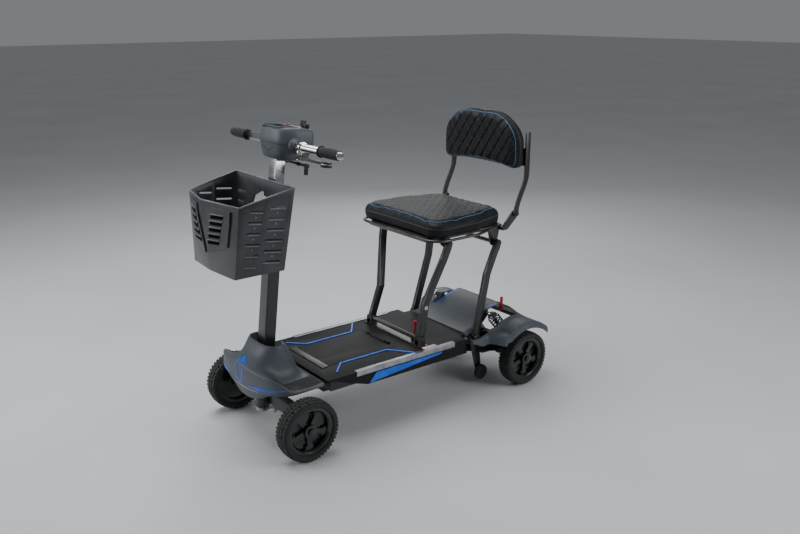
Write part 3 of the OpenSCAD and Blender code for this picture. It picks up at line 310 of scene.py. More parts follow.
def apply_modifiers(obj):
    pick(obj)
    for m in list(obj.modifiers):
        bpy.ops.object.modifier_apply(modifier=m.name)
    return obj


def smooth(obj, degrees=32):
    pick(obj)
    bpy.ops.object.shade_smooth_by_angle(angle=math.radians(degrees))
    return obj


def dress(obj, material, body, replaces=()):
    """Gives a finished piece its finish, its body and what it stands for."""
    settle(obj)
    obj.data.materials.clear()
    obj.data.materials.append(material)
    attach(obj, body)
    if replaces:
        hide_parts(*replaces)
    return obj


def from_mesh(name, verts, faces):
    mesh = bpy.data.meshes.new(name)
    mesh.from_pydata([tuple(v) for v in verts], [], faces)
    mesh.update()
    obj = bpy.data.objects.new(name, mesh)
    bpy.context.scene.collection.objects.link(obj)
    return obj


def outward(obj):
    pick(obj)
    bpy.ops.object.mode_set(mode="EDIT")
    bpy.ops.mesh.select_all(action="SELECT")
    bpy.ops.mesh.remove_doubles(threshold=1e-6)
    bpy.ops.mesh.normals_make_consistent(inside=False)
    bpy.ops.object.mode_set(mode="OBJECT")
    return obj


def loft(name, rings, caps=(False, False)):
    """A skin through closed rings of equally many points."""
    n = len(rings[0])
    faces = [(k * n + i, k * n + (i + 1) % n, (k + 1) * n + (i + 1) % n, (k + 1) * n + i)
             for k in range(len(rings) - 1) for i in range(n)]
    if caps[0]:
        faces.append(tuple(reversed(range(n))))
    if caps[1]:
        faces.append(tuple(range((len(rings) - 1) * n, len(rings) * n)))
    return from_mesh(name, [p for r in rings for p in r], faces)


def bevelled(obj, width, segments=2, degrees=32):
    m = obj.modifiers.new("edges", "BEVEL")
    m.width = width * MM
    m.segments = segments
    m.limit_method = "ANGLE"
    m.angle_limit = math.radians(degrees)
    m.use_clamp_overlap = True
    return obj


def box_cutter(name, lo, hi):
    lo, hi = Vector(lo), Vector(hi)
    none_selected()
    bpy.ops.mesh.primitive_cube_add(size=1, location=(lo + hi) / 2)
    obj = bpy.context.object
    obj.name = name
    obj.scale = hi - lo
    return settle(obj)


def cut(obj, cutters):
    for c in cutters:
        m = obj.modifiers.new("cut", "BOOLEAN")
        m.operation, m.solver, m.object = "DIFFERENCE", "EXACT", c
    apply_modifiers(obj)
    for c in cutters:
        bpy.data.objects.remove(c)
    return obj


def soften(node, width=0.7, material=None, name=None, cutters=()):
    """A copy of a CAD node with its edges broken, as a real casting, moulding or weldment has."""
    source = frame["nodes"][node]
    obj = bpy.data.objects.new(name or node + "_finished", source.data.copy())
    bpy.context.scene.collection.objects.link(obj)
    pick(obj)
    if obj.data.has_custom_normals:
        bpy.ops.mesh.customdata_custom_splitnormals_clear()
    bpy.ops.object.mode_set(mode="EDIT")
    bpy.ops.mesh.select_all(action="SELECT")
    bpy.ops.mesh.remove_doubles(threshold=2e-6)
    bpy.ops.mesh.dissolve_limited(angle_limit=math.radians(0.6))
    bpy.ops.object.mode_set(mode="OBJECT")
    if cutters:
        cut(obj, cutters)
    bevelled(obj, width)
    apply_modifiers(obj)
    smooth(obj)
    slot = SLOT_OF[node]
    return dress(obj, material or M[slot], source["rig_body"], [node])


def tube(name, points, radius, material, body, sides=8, cyclic=False):
    curve = bpy.data.curves.new(name, "CURVE")
    curve.dimensions = "3D"
    curve.bevel_depth = radius * MM
    curve.bevel_resolution = max(1, sides // 4)
    curve.use_fill_caps = not cyclic
    line = curve.splines.new("POLY")
    line.points.add(len(points) - 1)
    for p, q in zip(line.points, points):
        p.co = (*q, 1)
    line.use_cyclic_u = cyclic
    obj = bpy.data.objects.new(name, curve)
    bpy.context.scene.collection.objects.link(obj)
    pick(obj)
    bpy.ops.object.convert(target="MESH")
    obj = bpy.context.object
    obj.data.polygons.foreach_set("use_smooth", [True] * len(obj.data.polygons))
    return dress(obj, material, body)


def ribbon(name, points, width, thick, normal, material, body):
    """A flat mitred strip that follows points on a plane, standing a little proud of it."""
    n = Vector(normal).normalized()
    pts = [Vector(p) for p in points]
    side = []
    for i, p in enumerate(pts):
        a = (p - pts[i - 1]).normalized() if i else None
        b = (pts[i + 1] - p).normalized() if i < len(pts) - 1 else None
        sa = n.cross(a) if a else n.cross(b)
        sb = n.cross(b) if b else n.cross(a)
        m = (sa + sb).normalized()
        side.append(m * (width * MM / 2 / max(0.4, m.dot(sb))))
    verts, faces = [], []
    for p, s in zip(pts, side):
        verts += [p - s, p + s, p + s * 0.9 + n * thick * MM, p - s * 0.9 + n * thick * MM]
    for i in range(len(pts) - 1):
        for j in range(4):
            k = (j + 1) % 4
            faces.append((i * 4 + j, i * 4 + k, i * 4 + 4 + k, i * 4 + 4 + j))
    faces += [(3, 2, 1, 0), tuple(len(verts) - 4 + j for j in range(4))]
    obj = outward(from_mesh(name, verts, faces))
    return dress(obj, material, body)


def plate(name, points, thick, normal, material, body, edge=0.3):
    """A flat shape cut from sheet, lying on a plane, with its upper edge broken."""
    n = Vector(normal).normalized() * thick * MM
    k = len(points)
    verts = [Vector(p) for p in points] + [Vector(p) + n for p in points]
    faces = [tuple(range(k)), tuple(reversed(range(k, 2 * k)))]
    faces += [(i, (i + 1) % k, k + (i + 1) % k, k + i) for i in range(k)]
    obj = bevelled(outward(from_mesh(name, verts, faces)), edge)
    return dress(smooth(apply_modifiers(obj)), material, body)


def bolt(name, place, axis, head_mm, tall_mm, material, body, socket=True):
    """A cap screw: a round bevelled head with a hexagon socket sunk in it."""
    none_selected()
    bpy.ops.mesh.primitive_cylinder_add(vertices=24, radius=head_mm * MM / 2,
                                        depth=tall_mm * MM, location=(0, 0, tall_mm * MM / 2))
    obj = bpy.context.object
    obj.name = name
    if socket:
        bpy.ops.mesh.primitive_cylinder_add(vertices=6, radius=head_mm * MM * 0.27, depth=tall_mm * MM,
                                            location=(0, 0, tall_mm * MM * 1.1))
        cutter = bpy.context.object
        cut(obj, [settle(cutter)])
    bevelled(obj, head_mm * 0.06)
    apply_modifiers(obj)
    smooth(obj)
    obj.rotation_mode = "QUATERNION"
    obj.rotation_quaternion = Vector(axis).to_track_quat("Z", "Y")
    obj.location = place
    return dress(obj, material, body)


SLOT_OF = {s["node"]: s["material_slot"] for s in frame["record"]["subparts"]}
BODY_OF = {n: o["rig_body"] for n, o in frame["nodes"].items()}
for node, obj in frame["nodes"].items():
    obj.data.materials.clear()
    obj.data.materials.append(M[SLOT_OF[node]])

# Hard nodes whose CAD shape is right: edges broken, finish given
EDGE = {
    "frame": 1.5, "front_axle": 1.5, "deck": 1.2, "battery_lid": 0.8, "battery_tray": 1.0,
    "controller": 1.0, "front_leg_bracket": 0.8, "release_lever": 0.8, "freewheel_lever": 0.8,
    "steering_stem": 1.0, "knuckle_left": 1.0, "knuckle_right": 1.0, "tie_rod": 1.0,
    "front_rim_left": 1.0, "front_rim_right": 1.0, "rear_rim_left": 1.0, "rear_rim_right": 1.0,
    "front_tyre_left": 1.0, "front_tyre_right": 1.0, "rear_tyre_left": 1.0, "rear_tyre_right": 1.0,
    "transaxle": 1.5, "anti_tip_wheel_left": 1.5, "anti_tip_wheel_right": 1.5,
    "shock_body_left": 0.6, "shock_body_right": 0.6, "shock_rod_left": 0.6, "shock_rod_right": 0.6,
    "tiller_tube": 1.2, "height_knob": 1.0, "basket_bracket": 0.6, "tiller_extension": 0.8,
    "handlebar": 0.8, "ignition_key": 0.5, "speed_knob": 0.6, "horn_button": 0.8,
    "throttle_paddle": 0.8, "brake_lever": 1.2, "front_legs": 1.2, "rear_legs": 1.2,
    "seat_frame": 0.8, "backrest_frame": 1.2, "side_strip_left": 0.4, "side_strip_right": 0.4,
}
for node, width in EDGE.items():
    soften(node, width, DECK_SKIN if node in ("deck", "battery_lid")
           else RIM_GLOSS if "_rim_" in node else None)

# ---------- floor ----------

none_selected()
bpy.ops.mesh.primitive_plane_add(size=60, location=(0, 0, 0))
floor = bpy.context.object
floor.name = "studio_floor"
floor_mat, tree, shader, coords = new_material("pale_studio_floor", Roughness=0.7)
patches(tree, shader, coords, ("#C9CBCD", "#D0D2D4"), 900)
floor.data.materials.append(floor_mat)

# ---------- smooth outlines ----------


def rounded(points, steps=4):
    """A closed Catmull-Rom curve through points."""
    out, n = [], len(points)
    for i in range(n):
        a, b, c, d = (Vector(points[(i + k) % n]) for k in (-1, 0, 1, 2))
        for k in range(steps):
            t = k / steps
            out.append(0.5 * ((2 * b) + (c - a) * t + (2 * a - 5 * b + 4 * c - d) * t * t
                              + (3 * b - a - 3 * c + d) * t ** 3))
    return out


def whole(half):
    """Half an outline, from the front middle to the back middle, with its mirror image."""
    return half + [(-p[0], *p[1:]) for p in reversed(half[1:-1])]


# ---------- front fairing ----------

def ease(t):
    t = max(0.0, min(1.0, t))
    return t * t * (3 - 2 * t)

WING_HALF = [(0, -97), (60, -95), (112, -87), (150, -72), (173, -51), (185, -26), (186, 20),
             (186, 62), (183, 86), (150, 95), (80, 95), (0, 95)]


def ramp(y, share=1.0):
    """How far the foot wings climb towards the front."""
    return 49 * share * ease((-6 - y) / 76)


def wing_ring(z, inset, share=1.0):
    def pull(p):
        x, y = p
        return (x - inset if x > 1 else x, y + inset if y < 0 else y - inset,
                z + ramp(y, share * (1 - 0.12 * (x / 186) ** 2)))
    return whole([pull(p) for p in WING_HALF])


def tower_ring(w, y0, y1, z, rise=0.0, share=0.0):
    d = y1 - y0
    shape = [(0, 0), (0.30, 0.005), (0.56, 0.04), (0.76, 0.11), (0.90, 0.22), (0.98, 0.38),
             (1.0, 0.55), (0.97, 0.72), (0.88, 0.87), (0.66, 0.965), (0.33, 1), (0, 1)]
    return whole([(w * a, y0 + d * b, z + rise * a * a + ramp(y0 + d * b, share)) for a, b in shape])


fairing_rings = [
    tower_ring(130, -80, 44, 146, 40), tower_ring(140, -90, 62, 172, 20),
    wing_ring(192, 3, 0), wing_ring(195, 0, 0.06), wing_ring(197, 0, 0.55), wing_ring(199.5, 0.5, 0.95),
    wing_ring(201, 3), tower_ring(126, -88, 82, 203, 0, 1.04), tower_ring(108, -84, 78, 208, 0, 1.02),
    tower_ring(96, -80, 73, 219, 0, 0.85), tower_ring(88, -74, 66, 236, 0, 0.6),
    tower_ring(83, -64, 58, 257, 0, 0.3), tower_ring(80, -52, 48, 280, 0, 0.08),
    tower_ring(77, -41, 38, 298), tower_ring(74, -35, 30, 306), tower_ring(71, -32, 26, 307.5),
    tower_ring(69, -30, 23, 304),
]
fairing = outward(loft("front_fairing_shell",
                       [[at(*p) for p in rounded(r, 3)] for r in fairing_rings]))
wall = fairing.modifiers.new("wall", "SOLIDIFY")
wall.thickness, wall.offset = 3 * MM, -1
apply_modifiers(fairing)
cut(fairing, [box_cutter("c1", at(-43, 0, 221), at(43, 99, 320)),
              box_cutter("c2", at(-220, 34, 90), at(220, 120, 193.2))])


dress(smooth(fairing, 50), M["grey_shell"], "chassis", ["front_fairing"])

# Blue strips along the fairing's lower side edges, and a light trim under the nose
fairing_tree = BVHTree.FromObject(fairing, bpy.context.evaluated_depsgraph_get())


def on_skin(tree, start, aim, lift):
    """Where a ray from start towards aim meets a skin, lifted off it a little."""
    hit, normal, _, _ = tree.ray_cast(start, (aim - start).normalized())
    return (hit + normal * lift * MM, normal) if hit else (aim, Vector((0, 0, 1)))


def skin_strip(name, tree, pairs, lift, thick, material, body, steps=28):
    """A strip that follows a skin between two rows of rays, given as (start, aim) pairs."""
    verts, faces = [], []
    for (s0, a0, s1, a1) in pairs:
        p, n = on_skin(tree, s0, a0, lift)
        q, m = on_skin(tree, s1, a1, lift)
        verts += [p - n * thick * MM, q - m * thick * MM, q, p]
    for i in range(len(pairs) - 1):
        for j in range(4):
            k = (j + 1) % 4
            faces.append((i * 4 + j, i * 4 + k, i * 4 + 4 + k, i * 4 + 4 + j))
    faces += [(3, 2, 1, 0), tuple(len(verts) - 4 + j for j in range(4))]
    return dress(smooth(outward(from_mesh(name, verts, faces)), 40), material, body)


def skin_patch(tree, corners, ray, lift, skirt, cells=(8, 8)):
    """A patch that follows a skin, its border folded down: a grid of rays between four corners.

    ray(u, v) gives a ray's start and aim; corners run round the patch."""
    nu, nv = cells
    verts, faces = [], []
    a, b, c, d = (Vector(p) for p in corners)
    for j in range(nv + 1):
        for i in range(nu + 1):
            s, t = i / nu, j / nv
            q = (a * (1 - s) + b * s) * (1 - t) + (d * (1 - s) + c * s) * t
            edge = i in (0, nu) or j in (0, nv)
            verts.append(on_skin(tree, *ray(q.x, q.y), lift - 0.5 if edge else lift)[0])
    for j in range(nv):
        for i in range(nu):
            k = j * (nu + 1) + i
            faces.append((k, k + 1, k + nu + 2, k + nu + 1))
    rim = ([i for i in range(nu + 1)] + [j * (nu + 1) + nu for j in range(1, nv + 1)]
           + [nv * (nu + 1) + i for i in range(nu - 1, -1, -1)]
           + [j * (nu + 1) for j in range(nv - 1, 0, -1)])
    base = len(verts)
    for k in rim:
        i, j = k % (nu + 1) / nu, k // (nu + 1) / nv
        q = (a * (1 - i) + b * i) * (1 - j) + (d * (1 - i) + c * i) * j
        verts.append(on_skin(tree, *ray(q.x, q.y), -skirt)[0])
    n = len(rim)
    for i in range(n):
        faces.append((rim[i], rim[(i + 1) % n], base + (i + 1) % n, base + i))
    faces.append(tuple(base + i for i in reversed(range(n))))
    return verts, faces


def merged(name, parts, material, body, degrees=35):
    """Several patches as one piece."""
    verts, faces = [], []
    for v, f in parts:
        k = len(verts)
        verts += v
        faces += [tuple(k + i for i in face) for face in f]
    return dress(smooth(outward(from_mesh(name, verts, faces)), degrees), material, body)


# Ribbed rubber mats on the fairing's foot wings, following their ramp
for side, s in (("left", 1), ("right", -1)):
    ray = lambda x, y: (at(s * x, y, 330), at(s * x, y, 150))
    sheet = merged(f"foot_mat_{side}_sheet",
                   [skin_patch(fairing_tree, [(134, -66), (150, -66), (176, -24), (126, -24)], ray, 1.4, 1),
                    skin_patch(fairing_tree, [(126, -24.2), (176, -24.2), (176, 60), (114, 60)], ray, 1.4, 1),
                    skin_patch(fairing_tree, [(114, 59.8), (176, 59.8), (168, 88), (104, 88)], ray, 1.4, 1)],
                   M["grip_rubber"], "chassis")
    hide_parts(f"foot_mat_{side}")
    ribs = []
    for i in range(18):
        y = -58 + i * 8
        x0 = 134 - 8 * ease((y + 66) / 42) - 12 * ease((y + 24) / 90) + 4
        x1 = (150 + 24 * (y + 66) / 42 if y < -24 else 174) - 4
        ribs.append(skin_patch(fairing_tree, [(x0, y), (x1, y), (x1, y + 3.6), (x0, y + 3.6)], ray,
                               3.0, 0, (4, 2)))
    merged(f"foot_mat_{side}_ribs", ribs, M["grip_rubber"], "chassis")

# The blue outline on the nose, a six-sided loop that follows the skin
loop = [(-15, 33), (15, 33), (23, 12), (13, -30), (-13, -30), (-23, 12)]
rows = []
for k in range(6):
    p, q = Vector(loop[k]), Vector(loop[(k + 1) % 6])
    for j in range(8):
        m = p + (q - p) * j / 8
        span = [(at(m.x * g, -260, 228 + m.y * g), at(m.x * g, 0, 228 + m.y * g)) for g in (1.14, 0.86)]
        rows.append((*span[0], *span[1]))
rows.append(rows[0])
nose_loop = skin_strip("fairing_nose_loop", fairing_tree, rows, 0.6, 1.5, M["blue_trim"], "chassis")
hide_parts("fairing_ring")

for side, s in (("left", 1), ("right", -1)):
    rows = []
    for i in range(25):
        t = i / 24
        a = math.radians(-60 + 52 * t)
        spread = 1.5 + 6.5 * math.sin(math.pi * min(1, t * 1.1)) * (1 - 0.35 * t)
        aim = lambda z: at(s * 60 * math.cos(a), -12 + 60 * math.sin(a), z)
        start = lambda z: at(s * 320 * math.cos(a), -12 + 320 * math.sin(a), z + 30)
        z = 190 + 8 * t * t
        rows.append((start(z), aim(z), start(z + spread), aim(z + spread)))
    skin_strip(f"fairing_blue_sweep_{side}", fairing_tree, rows, 0.5, 1.5, M["blue_trim"],
               "chassis")

rows = []
for i in range(31):
    x = -118 + 236 * i / 30
    aim = lambda z: at(x * 0.6, 0, z)
    start = lambda z: at(x * 1.2, -260, z - 4)
    z = 183 + 7 * abs(x / 118) ** 2
    rows.append((start(z), aim(z), start(z + 3), aim(z + 3)))
skin_strip("fairing_nose_trim", fairing_tree, rows, 0.5, 1.5, M["silver_trim"], "chassis")

# ---------- rear cover ----------

COVER_Y0, COVER_Y1, COVER_X = REAR_Y - 206, REAR_Y + 92, 248.0
GUARD_R = 136.0


def cover_z(x, y):
    """Height of the cover's outer face: a centre crest that blends into a guard over each wheel."""
    t = (y - COVER_Y0) / (COVER_Y1 - COVER_Y0)
    crest = 210 + 54 * ease(t / 0.62) - 60 * ease((t - 0.66) / 0.34)
    d = y - REAR_Y
    guard = 95 + (math.sqrt(GUARD_R ** 2 - d * d) if abs(d) < GUARD_R else 0)
    low = 202 - 10 * ease((REAR_Y - 120 - y) / 60)
    k = ease((abs(x) - 128) / 60)
    return crest * (1 - k) + max(guard, low) * k


def cover_edge(y):
    """Half-width of the cover: narrow beside the deck, wide over the wheels."""
    return 190 + (COVER_X - 190) * ease((y - (REAR_Y - 140)) / 34)


nx, ny = 84, 70
verts, faces = [], []
for j in range(ny + 1):
    y = COVER_Y0 + (COVER_Y1 - COVER_Y0) * j / ny
    w = cover_edge(y)
    for i in range(nx + 1):
        x = w * (2 * i / nx - 1)
        e = w - abs(x)
        z = cover_z(x, y) - 7 * (1 - min(1, e / 9)) ** 2
        back = COVER_Y1 - y
        z -= 6 * (1 - min(1, back / 9)) ** 2
        verts.append(at(x, y, z))
row = nx + 1
for j in range(ny):
    for i in range(nx):
        faces.append((j * row + i, j * row + i + 1, (j + 1) * row + i + 1, (j + 1) * row + i))
border = ([(j * row) for j in range(ny, -1, -1)] + [i for i in range(1, nx + 1)]
          + [j * row + nx for j in range(1, ny + 1)] + [ny * row + i for i in range(nx - 1, -1, -1)])
drop = {}
for b in border:
    j, i = divmod(b, row)
    y = COVER_Y0 + (COVER_Y1 - COVER_Y0) * j / ny
    deep = 5 if j == 0 else 14
    if i in (0, nx) and y < REAR_Y - 100:
        deep = 4 + 22 * ease((y - COVER_Y0) / 60)
    if i in (0, nx) and y >= REAR_Y - 100:
        deep = 16
    drop[b] = len(verts)
    verts.append(verts[b] - Vector((0, 0, deep * MM)))
for a, b in zip(border, border[1:]):
    if a in drop and b in drop:
        faces.append((b, a, drop[a], drop[b]))
cover = outward(from_mesh("rear_cover_shell", verts, faces))
if sum(p.normal.z for p in cover.data.polygons) < 0:
    cover.data.flip_normals()
wall = cover.modifiers.new("wall", "SOLIDIFY")
wall.thickness, wall.offset = 3 * MM, -1
apply_modifiers(cover)
cutters = []
for s in (1, -1):
    for k, (lo, hi) in enumerate([((150, COVER_Y0 - 20, 140), (179, 753, 330)),
                                  ((109, 755, 140), (170, 896, 330))]):
        a, b = at(s * lo[0], *lo[1:]), at(s * hi[0], *hi[1:])
        cutters.append(box_cutter(f"c{s}{k}", [min(u, v) for u, v in zip(a, b)],
                                  [max(u, v) for u, v in zip(a, b)]))
cutters.append(box_cutter("c5", at(92, 866, 225), at(108, 910, 320)))
cut(cover, cutters)
cover_tree = BVHTree.FromObject(cover, bpy.context.evaluated_depsgraph_get())
dress(smooth(cover, 40), M["grey_shell"], "chassis", ["rear_cover"])


def down(x, y):
    return at(x, y, 400), at(x, y, 0)


for side, s in (("left", 1), ("right", -1)):
    rows = [(*down(s * (100 - 4 * math.sin(math.pi * i / 20)), 748 + 116 * i / 20),
             *down(s * (100 + 4 * math.sin(math.pi * i / 20)), 748 + 116 * i / 20))
            for i in range(1, 20)]
    skin_strip(f"cover_blue_stripe_{side}", cover_tree, rows, 0.4, 1.2, M["blue_trim"], "chassis")
    rows = [(*down(s * 86, 868 + 48 * i / 12), *down(s * 90, 868 + 48 * i / 12)) for i in range(13)]
    skin_strip(f"cover_silver_strip_{side}", cover_tree, rows, 0.5, 1.4, M["silver_trim"],
               "chassis")

# ---------- seat and backrest ----------


def hull_outline(circles, count):
    """Outline of the hull of circles (x, y, r), as its farthest point in each of 720 directions."""
    pts = []
    for k in range(720):
        a = 2 * math.pi * k / 720
        d = Vector((math.cos(a), math.sin(a)))
        pts.append(max((Vector(c[:2]) + d * c[2] for c in circles), key=lambda p: p.dot(d)))
    return pts


def polar(pts, centre, count=360):
    """Resamples an outline as its reach from a centre at each degree."""
    reach = []
    for k in range(count):
        a = 2 * math.pi * k / count
        d, best = Vector((math.cos(a), math.sin(a))), 0.0
        for i, p in enumerate(pts):
            u, v = p - centre, pts[i - 1] - centre
            e = v - u
            den = d.x * e.y - d.y * e.x
            if abs(den) < 1e-9:
                continue
            t = (u.x * e.y - u.y * e.x) / den
            m = (u.x * d.y - u.y * d.x) / den
            if -1e-6 <= m <= 1 + 1e-6 and t > best:
                best = t
        reach.append(best)
    return reach


def reach_at(reach, a):
    f = (a % (2 * math.pi)) / (2 * math.pi) * len(reach)
    i = int(f)
    return reach[i % len(reach)] * (1 - f + i) + reach[(i + 1) % len(reach)] * (f - i)


def pad(name, reach, centre, thick, place, cap_mm, cells, inset, flat_back, body, node, piping_mm, puff_mm):
    """A stuffed pad: a slightly small blank is blown up by a cloth simulation, then quilted.

    place(u, v, w) gives a point of the row's frame, with w from the pad's back to its face."""
    count = 96
    rings = []
    for w, shrink in ((1, 17), (3, 9), (9, 5.5), (thick * 0.5, 4), (thick - 13, 6),
                      (thick - 6, 11), (thick - 2, 21)):
        ring = []
        for k in range(count):
            a = 2 * math.pi * k / count
            r = reach_at(reach, a) - shrink
            ring.append(place(centre.x + r * math.cos(a), centre.y + r * math.sin(a), w))
        rings.append(ring)
    obj = outward(loft(name, rings, (True, True)))
    remesh = obj.modifiers.new("voxels", "REMESH")
    remesh.mode, remesh.voxel_size = "VOXEL", 5 * MM
    apply_modifiers(obj)
    start = [v.co.copy() for v in obj.data.vertices]
    pick(obj)
    cloth = obj.modifiers.new("cloth", "CLOTH")
    cloth.settings.use_pressure = True
    cloth.settings.uniform_pressure_force = 4
    cloth.settings.effector_weights.gravity = 0
    cloth.settings.quality = 4
    cloth.collision_settings.use_collision = False
    cloth.point_cache.frame_start, cloth.point_cache.frame_end = 1, 20
    for f in range(1, 21):
        bpy.context.scene.frame_set(f)
    pick(obj)
    bpy.ops.object.modifier_apply(modifier="cloth")
    bpy.context.scene.frame_set(1)
    for v, p in zip(obj.data.vertices, start):
        move = v.co - p
        if move.length > cap_mm * MM:
            v.co = p + move.normalized() * cap_mm * MM
    sub = obj.modifiers.new("smooth", "SUBSURF")
    sub.levels = sub.render_levels = 1
    apply_modifiers(obj)
    o, ex = place(0, 0, 0), place(1, 0, 0)
    eu, ev, ew = (place(*d) - o for d in ((1, 0, 0), (0, 1, 0), (0, 0, 1)))
    cu, cv = cells
    for v in obj.data.vertices:
        p = v.co - o
        u, q, w = (p.dot(e) / e.length_squared for e in (eu, ev, ew))
        a = math.atan2(q - centre.y, u - centre.x)
        r = math.hypot(q - centre.y, u - centre.x)
        edge = reach_at(reach, a) - r
        face = ease((w - thick * 0.55) / (thick * 0.2))
        inner = ease((edge - inset) / 3)
        dip = 0.0
        s, t = (u / cu + q / cv), (u / cu - q / cv)
        for line in (s, t):
            gap_mm = abs(line - round(line)) * cu * cv / math.hypot(cu, cv)
            dip = max(dip, math.exp(-((gap_mm / 2.2) ** 2)))
        groove = math.exp(-(((edge - inset) / 2.4) ** 2))
        push = face * (inner * puff_mm * (1 - 2 * dip) - 2.0 * groove)
        side = math.exp(-(((w - thick * 0.62) / 1.8) ** 2)) * ease((9 - edge) / 4)
        out = Vector((math.cos(a), math.sin(a)))
        v.co += ew * push - (eu * out.x + ev * out.y) * side * 1.6
        p = v.co - o
        w = p.dot(ew) / ew.length_squared
        if w < flat_back:
            v.co += ew * (flat_back - w)
    smooth(obj, 80)
    slot = SLOT_OF[node]
    dress(obj, M[slot], body, [node])
    tree = BVHTree.FromObject(obj, bpy.context.evaluated_depsgraph_get())
    line = []
    for k in range(180):
        a = 2 * math.pi * k / 180
        r = reach_at(reach, a) - inset
        u, q = centre.x + r * math.cos(a), centre.y + r * math.sin(a)
        p, _ = on_skin(tree, place(u, q, thick + 60), place(u, q, 0), 0.15)
        line.append(p)
    tube(name + "_blue_line", line, piping_mm, BLUE_PIPING, body, 8, True)
    seam = []
    for k in range(220):
        a = 2 * math.pi * k / 220
        r = reach_at(reach, a)
        u, q = centre.x + r * math.cos(a), centre.y + r * math.sin(a)
        far = place(centre.x + (r + 60) * math.cos(a), centre.y + (r + 60) * math.sin(a), thick * 0.62)
        p, _ = on_skin(tree, far, place(centre.x, centre.y, thick * 0.62), -0.3)
        seam.append(p)
    tube(name + "_seam_cord", seam, 1.3, BLACK_THREAD, body, 8, True)
    return obj, tree


SEAT_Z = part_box("seat_cushion")[0].z / MM
SEAT_T = (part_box("seat_cushion")[1].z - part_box("seat_cushion")[0].z) / MM
SEAT_Y0 = (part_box("seat_cushion")[0].y - FRONT_AXLE_Y) / MM
SEAT_Y1 = (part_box("seat_cushion")[1].y - FRONT_AXLE_Y) / MM
SEAT_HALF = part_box("seat_cushion")[1].x / MM
mid_y = (SEAT_Y0 + SEAT_Y1) / 2
circles = []
for s in (1, -1):
    circles += [(s * (SEAT_HALF - 52), SEAT_Y0 + 52, 52), (s * (SEAT_HALF - 60), mid_y, 60),
                (s * (SEAT_HALF - 82), SEAT_Y1 - 40, 40), (s * (SEAT_HALF - 125), SEAT_Y0 + 40, 40)]
outline = []
for p in hull_outline(circles, 720):
    dip = 20 * math.exp(-((p.x / 44) ** 2)) if p.y < SEAT_Y0 + 40 else 0
    outline.append(Vector((p.x, p.y + dip)))
centre = Vector((0, mid_y))
seat_reach = polar(outline, centre)
pad("seat_cushion_cover", seat_reach, centre, SEAT_T, lambda u, v, w: at(u, v, SEAT_Z + w), 9,
    (31, 36), 34, 0.4, "seat", "seat_cushion", 0.8, 0.45)

BACK_LO, BACK_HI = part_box("backrest_pad")
BACK_Z0, BACK_H = BACK_LO.z / MM, (BACK_HI.z - BACK_LO.z) / MM
BACK_HALF = BACK_HI.x / MM
BACK_T = (BACK_HI.y - BACK_LO.y) / MM
circles = []
for s in (1, -1):
    circles.append((s * (BACK_HALF - 26), 26, 26))
    for k in range(16):
        a = math.radians(6 * k)
        circles.append((s * BACK_HALF * (1 - 0.8 * (1 - math.cos(a))),
                        BACK_H * (1 - 0.6 * (1 - math.sin(a))), 0))
outline = hull_outline(circles, 720)
centre = Vector((0, BACK_H * 0.48))
back_reach = polar(outline, centre)
back_face = BACK_HI.y
pad("backrest_pad_cover", back_reach, centre, BACK_T,
    lambda u, v, w: Vector((u * MM, back_face - w * MM, (BACK_Z0 + v) * MM)), 8,
    (39, 54), 21, 0.3, "backrest", "backrest_pad", 0.9, 2.1)

# ---------- console, grips and bar ----------

CON_Y, CON_Z, BAR_Y, BAR_Z = 16, 610, 12, 654
CHARCOAL = coated("charcoal_textured_coat", "#24272B", "#33373C", (0.38, 0.5), 1.4, 0.08)
# Louvre mouths: a near-black, almost shineless sheet laid over the slots, painted shade for the dark inside
# them.
LOUVRE_PAINTED_SHADE = moulded("louvre_mouth_painted_shade", "#020203", "#060607", (0.7, 0.85), 1.1, 0.05, 0, 0.05)
# A lighter copy of the basket's charcoal coat: a painted highlight on the rim, louvre hoods, slot lips and
# studs.
CHARCOAL_PAINTED_HIGHLIGHT = coated("charcoal_edge_painted_highlight", "#565B62", "#747A82", (0.3, 0.42), 1.4, 0.04)


def console_ring(z, s):
    """The console's outline at a height, drawn in by s: a half-round nose with straight sides."""
    r = 78 - s
    half = [(0, -0.66 * r), (0.45 * r, -0.64 * r), (0.75 * r, -0.55 * r), (0.93 * r, -0.28 * r),
            (r, 0), (r, 30), (r, 50 - s), (0.9 * r, 57 - s), (0.5 * r, 58 - s), (0, 58 - s)]
    return [col(p[0], CON_Y + p[1], CON_Z + z) for p in rounded(whole(half), 4)]


def rounded_box(w, d, r, steps=6):
    out = []
    for cx, cy, a0 in ((1, 1, 0), (-1, 1, 90), (-1, -1, 180), (1, -1, 270)):
        for k in range(steps + 1):
            a = math.radians(a0 + 90 * k / steps)
            out.append((cx * (w / 2 - r) + r * math.cos(a), cy * (d / 2 - r) + r * math.sin(a)))
    return out


def bar_ring(x, r, count=32):
    """A ring round the handlebar's line."""
    return [col(x, BAR_Y + r * math.cos(2 * math.pi * k / count),
                BAR_Z + r * math.sin(2 * math.pi * k / count)) for k in range(count)]


lower = outward(loft("console_lower_shell", [console_ring(z, s) for z, s in (
    (0, 19), (1, 15.5), (4, 12.5), (14, 8.5), (26, 5), (38, 2.2), (42.6, 1.0), (43.4, 2.0))],
    (True, True)))
dress(smooth(lower, 45), M["grey_shell"], "head", ["console_lower"])
upper = outward(loft("console_upper_shell", [console_ring(z, s) for z, s in (
    (43.4, 3.0), (44.2, 1.0), (46, 0), (58, 0), (74, 1.2), (84, 3.2), (89, 6), (91.4, 9.5), (92, 14))],
    (True, True)))
well = outward(loft("well", [[col(x * g, 2 + y * g, CON_Z + z) for x, y in rounded_box(112, 70, 24)]
                             for z, g in ((84, 0.95), (90, 1.0), (110, 1.06))], (True, True)))
cut(upper, [well])
dress(smooth(upper, 40), M["grey_shell"], "head", ["console_upper"])
rim_line = [col(x * 1.01, 2 + y * 1.01, CON_Z + 92.1) for x, y in rounded_box(112, 70, 24)]
tube("console_well_rim", rim_line, 1.5, M["grey_shell"], "head", 8, True)
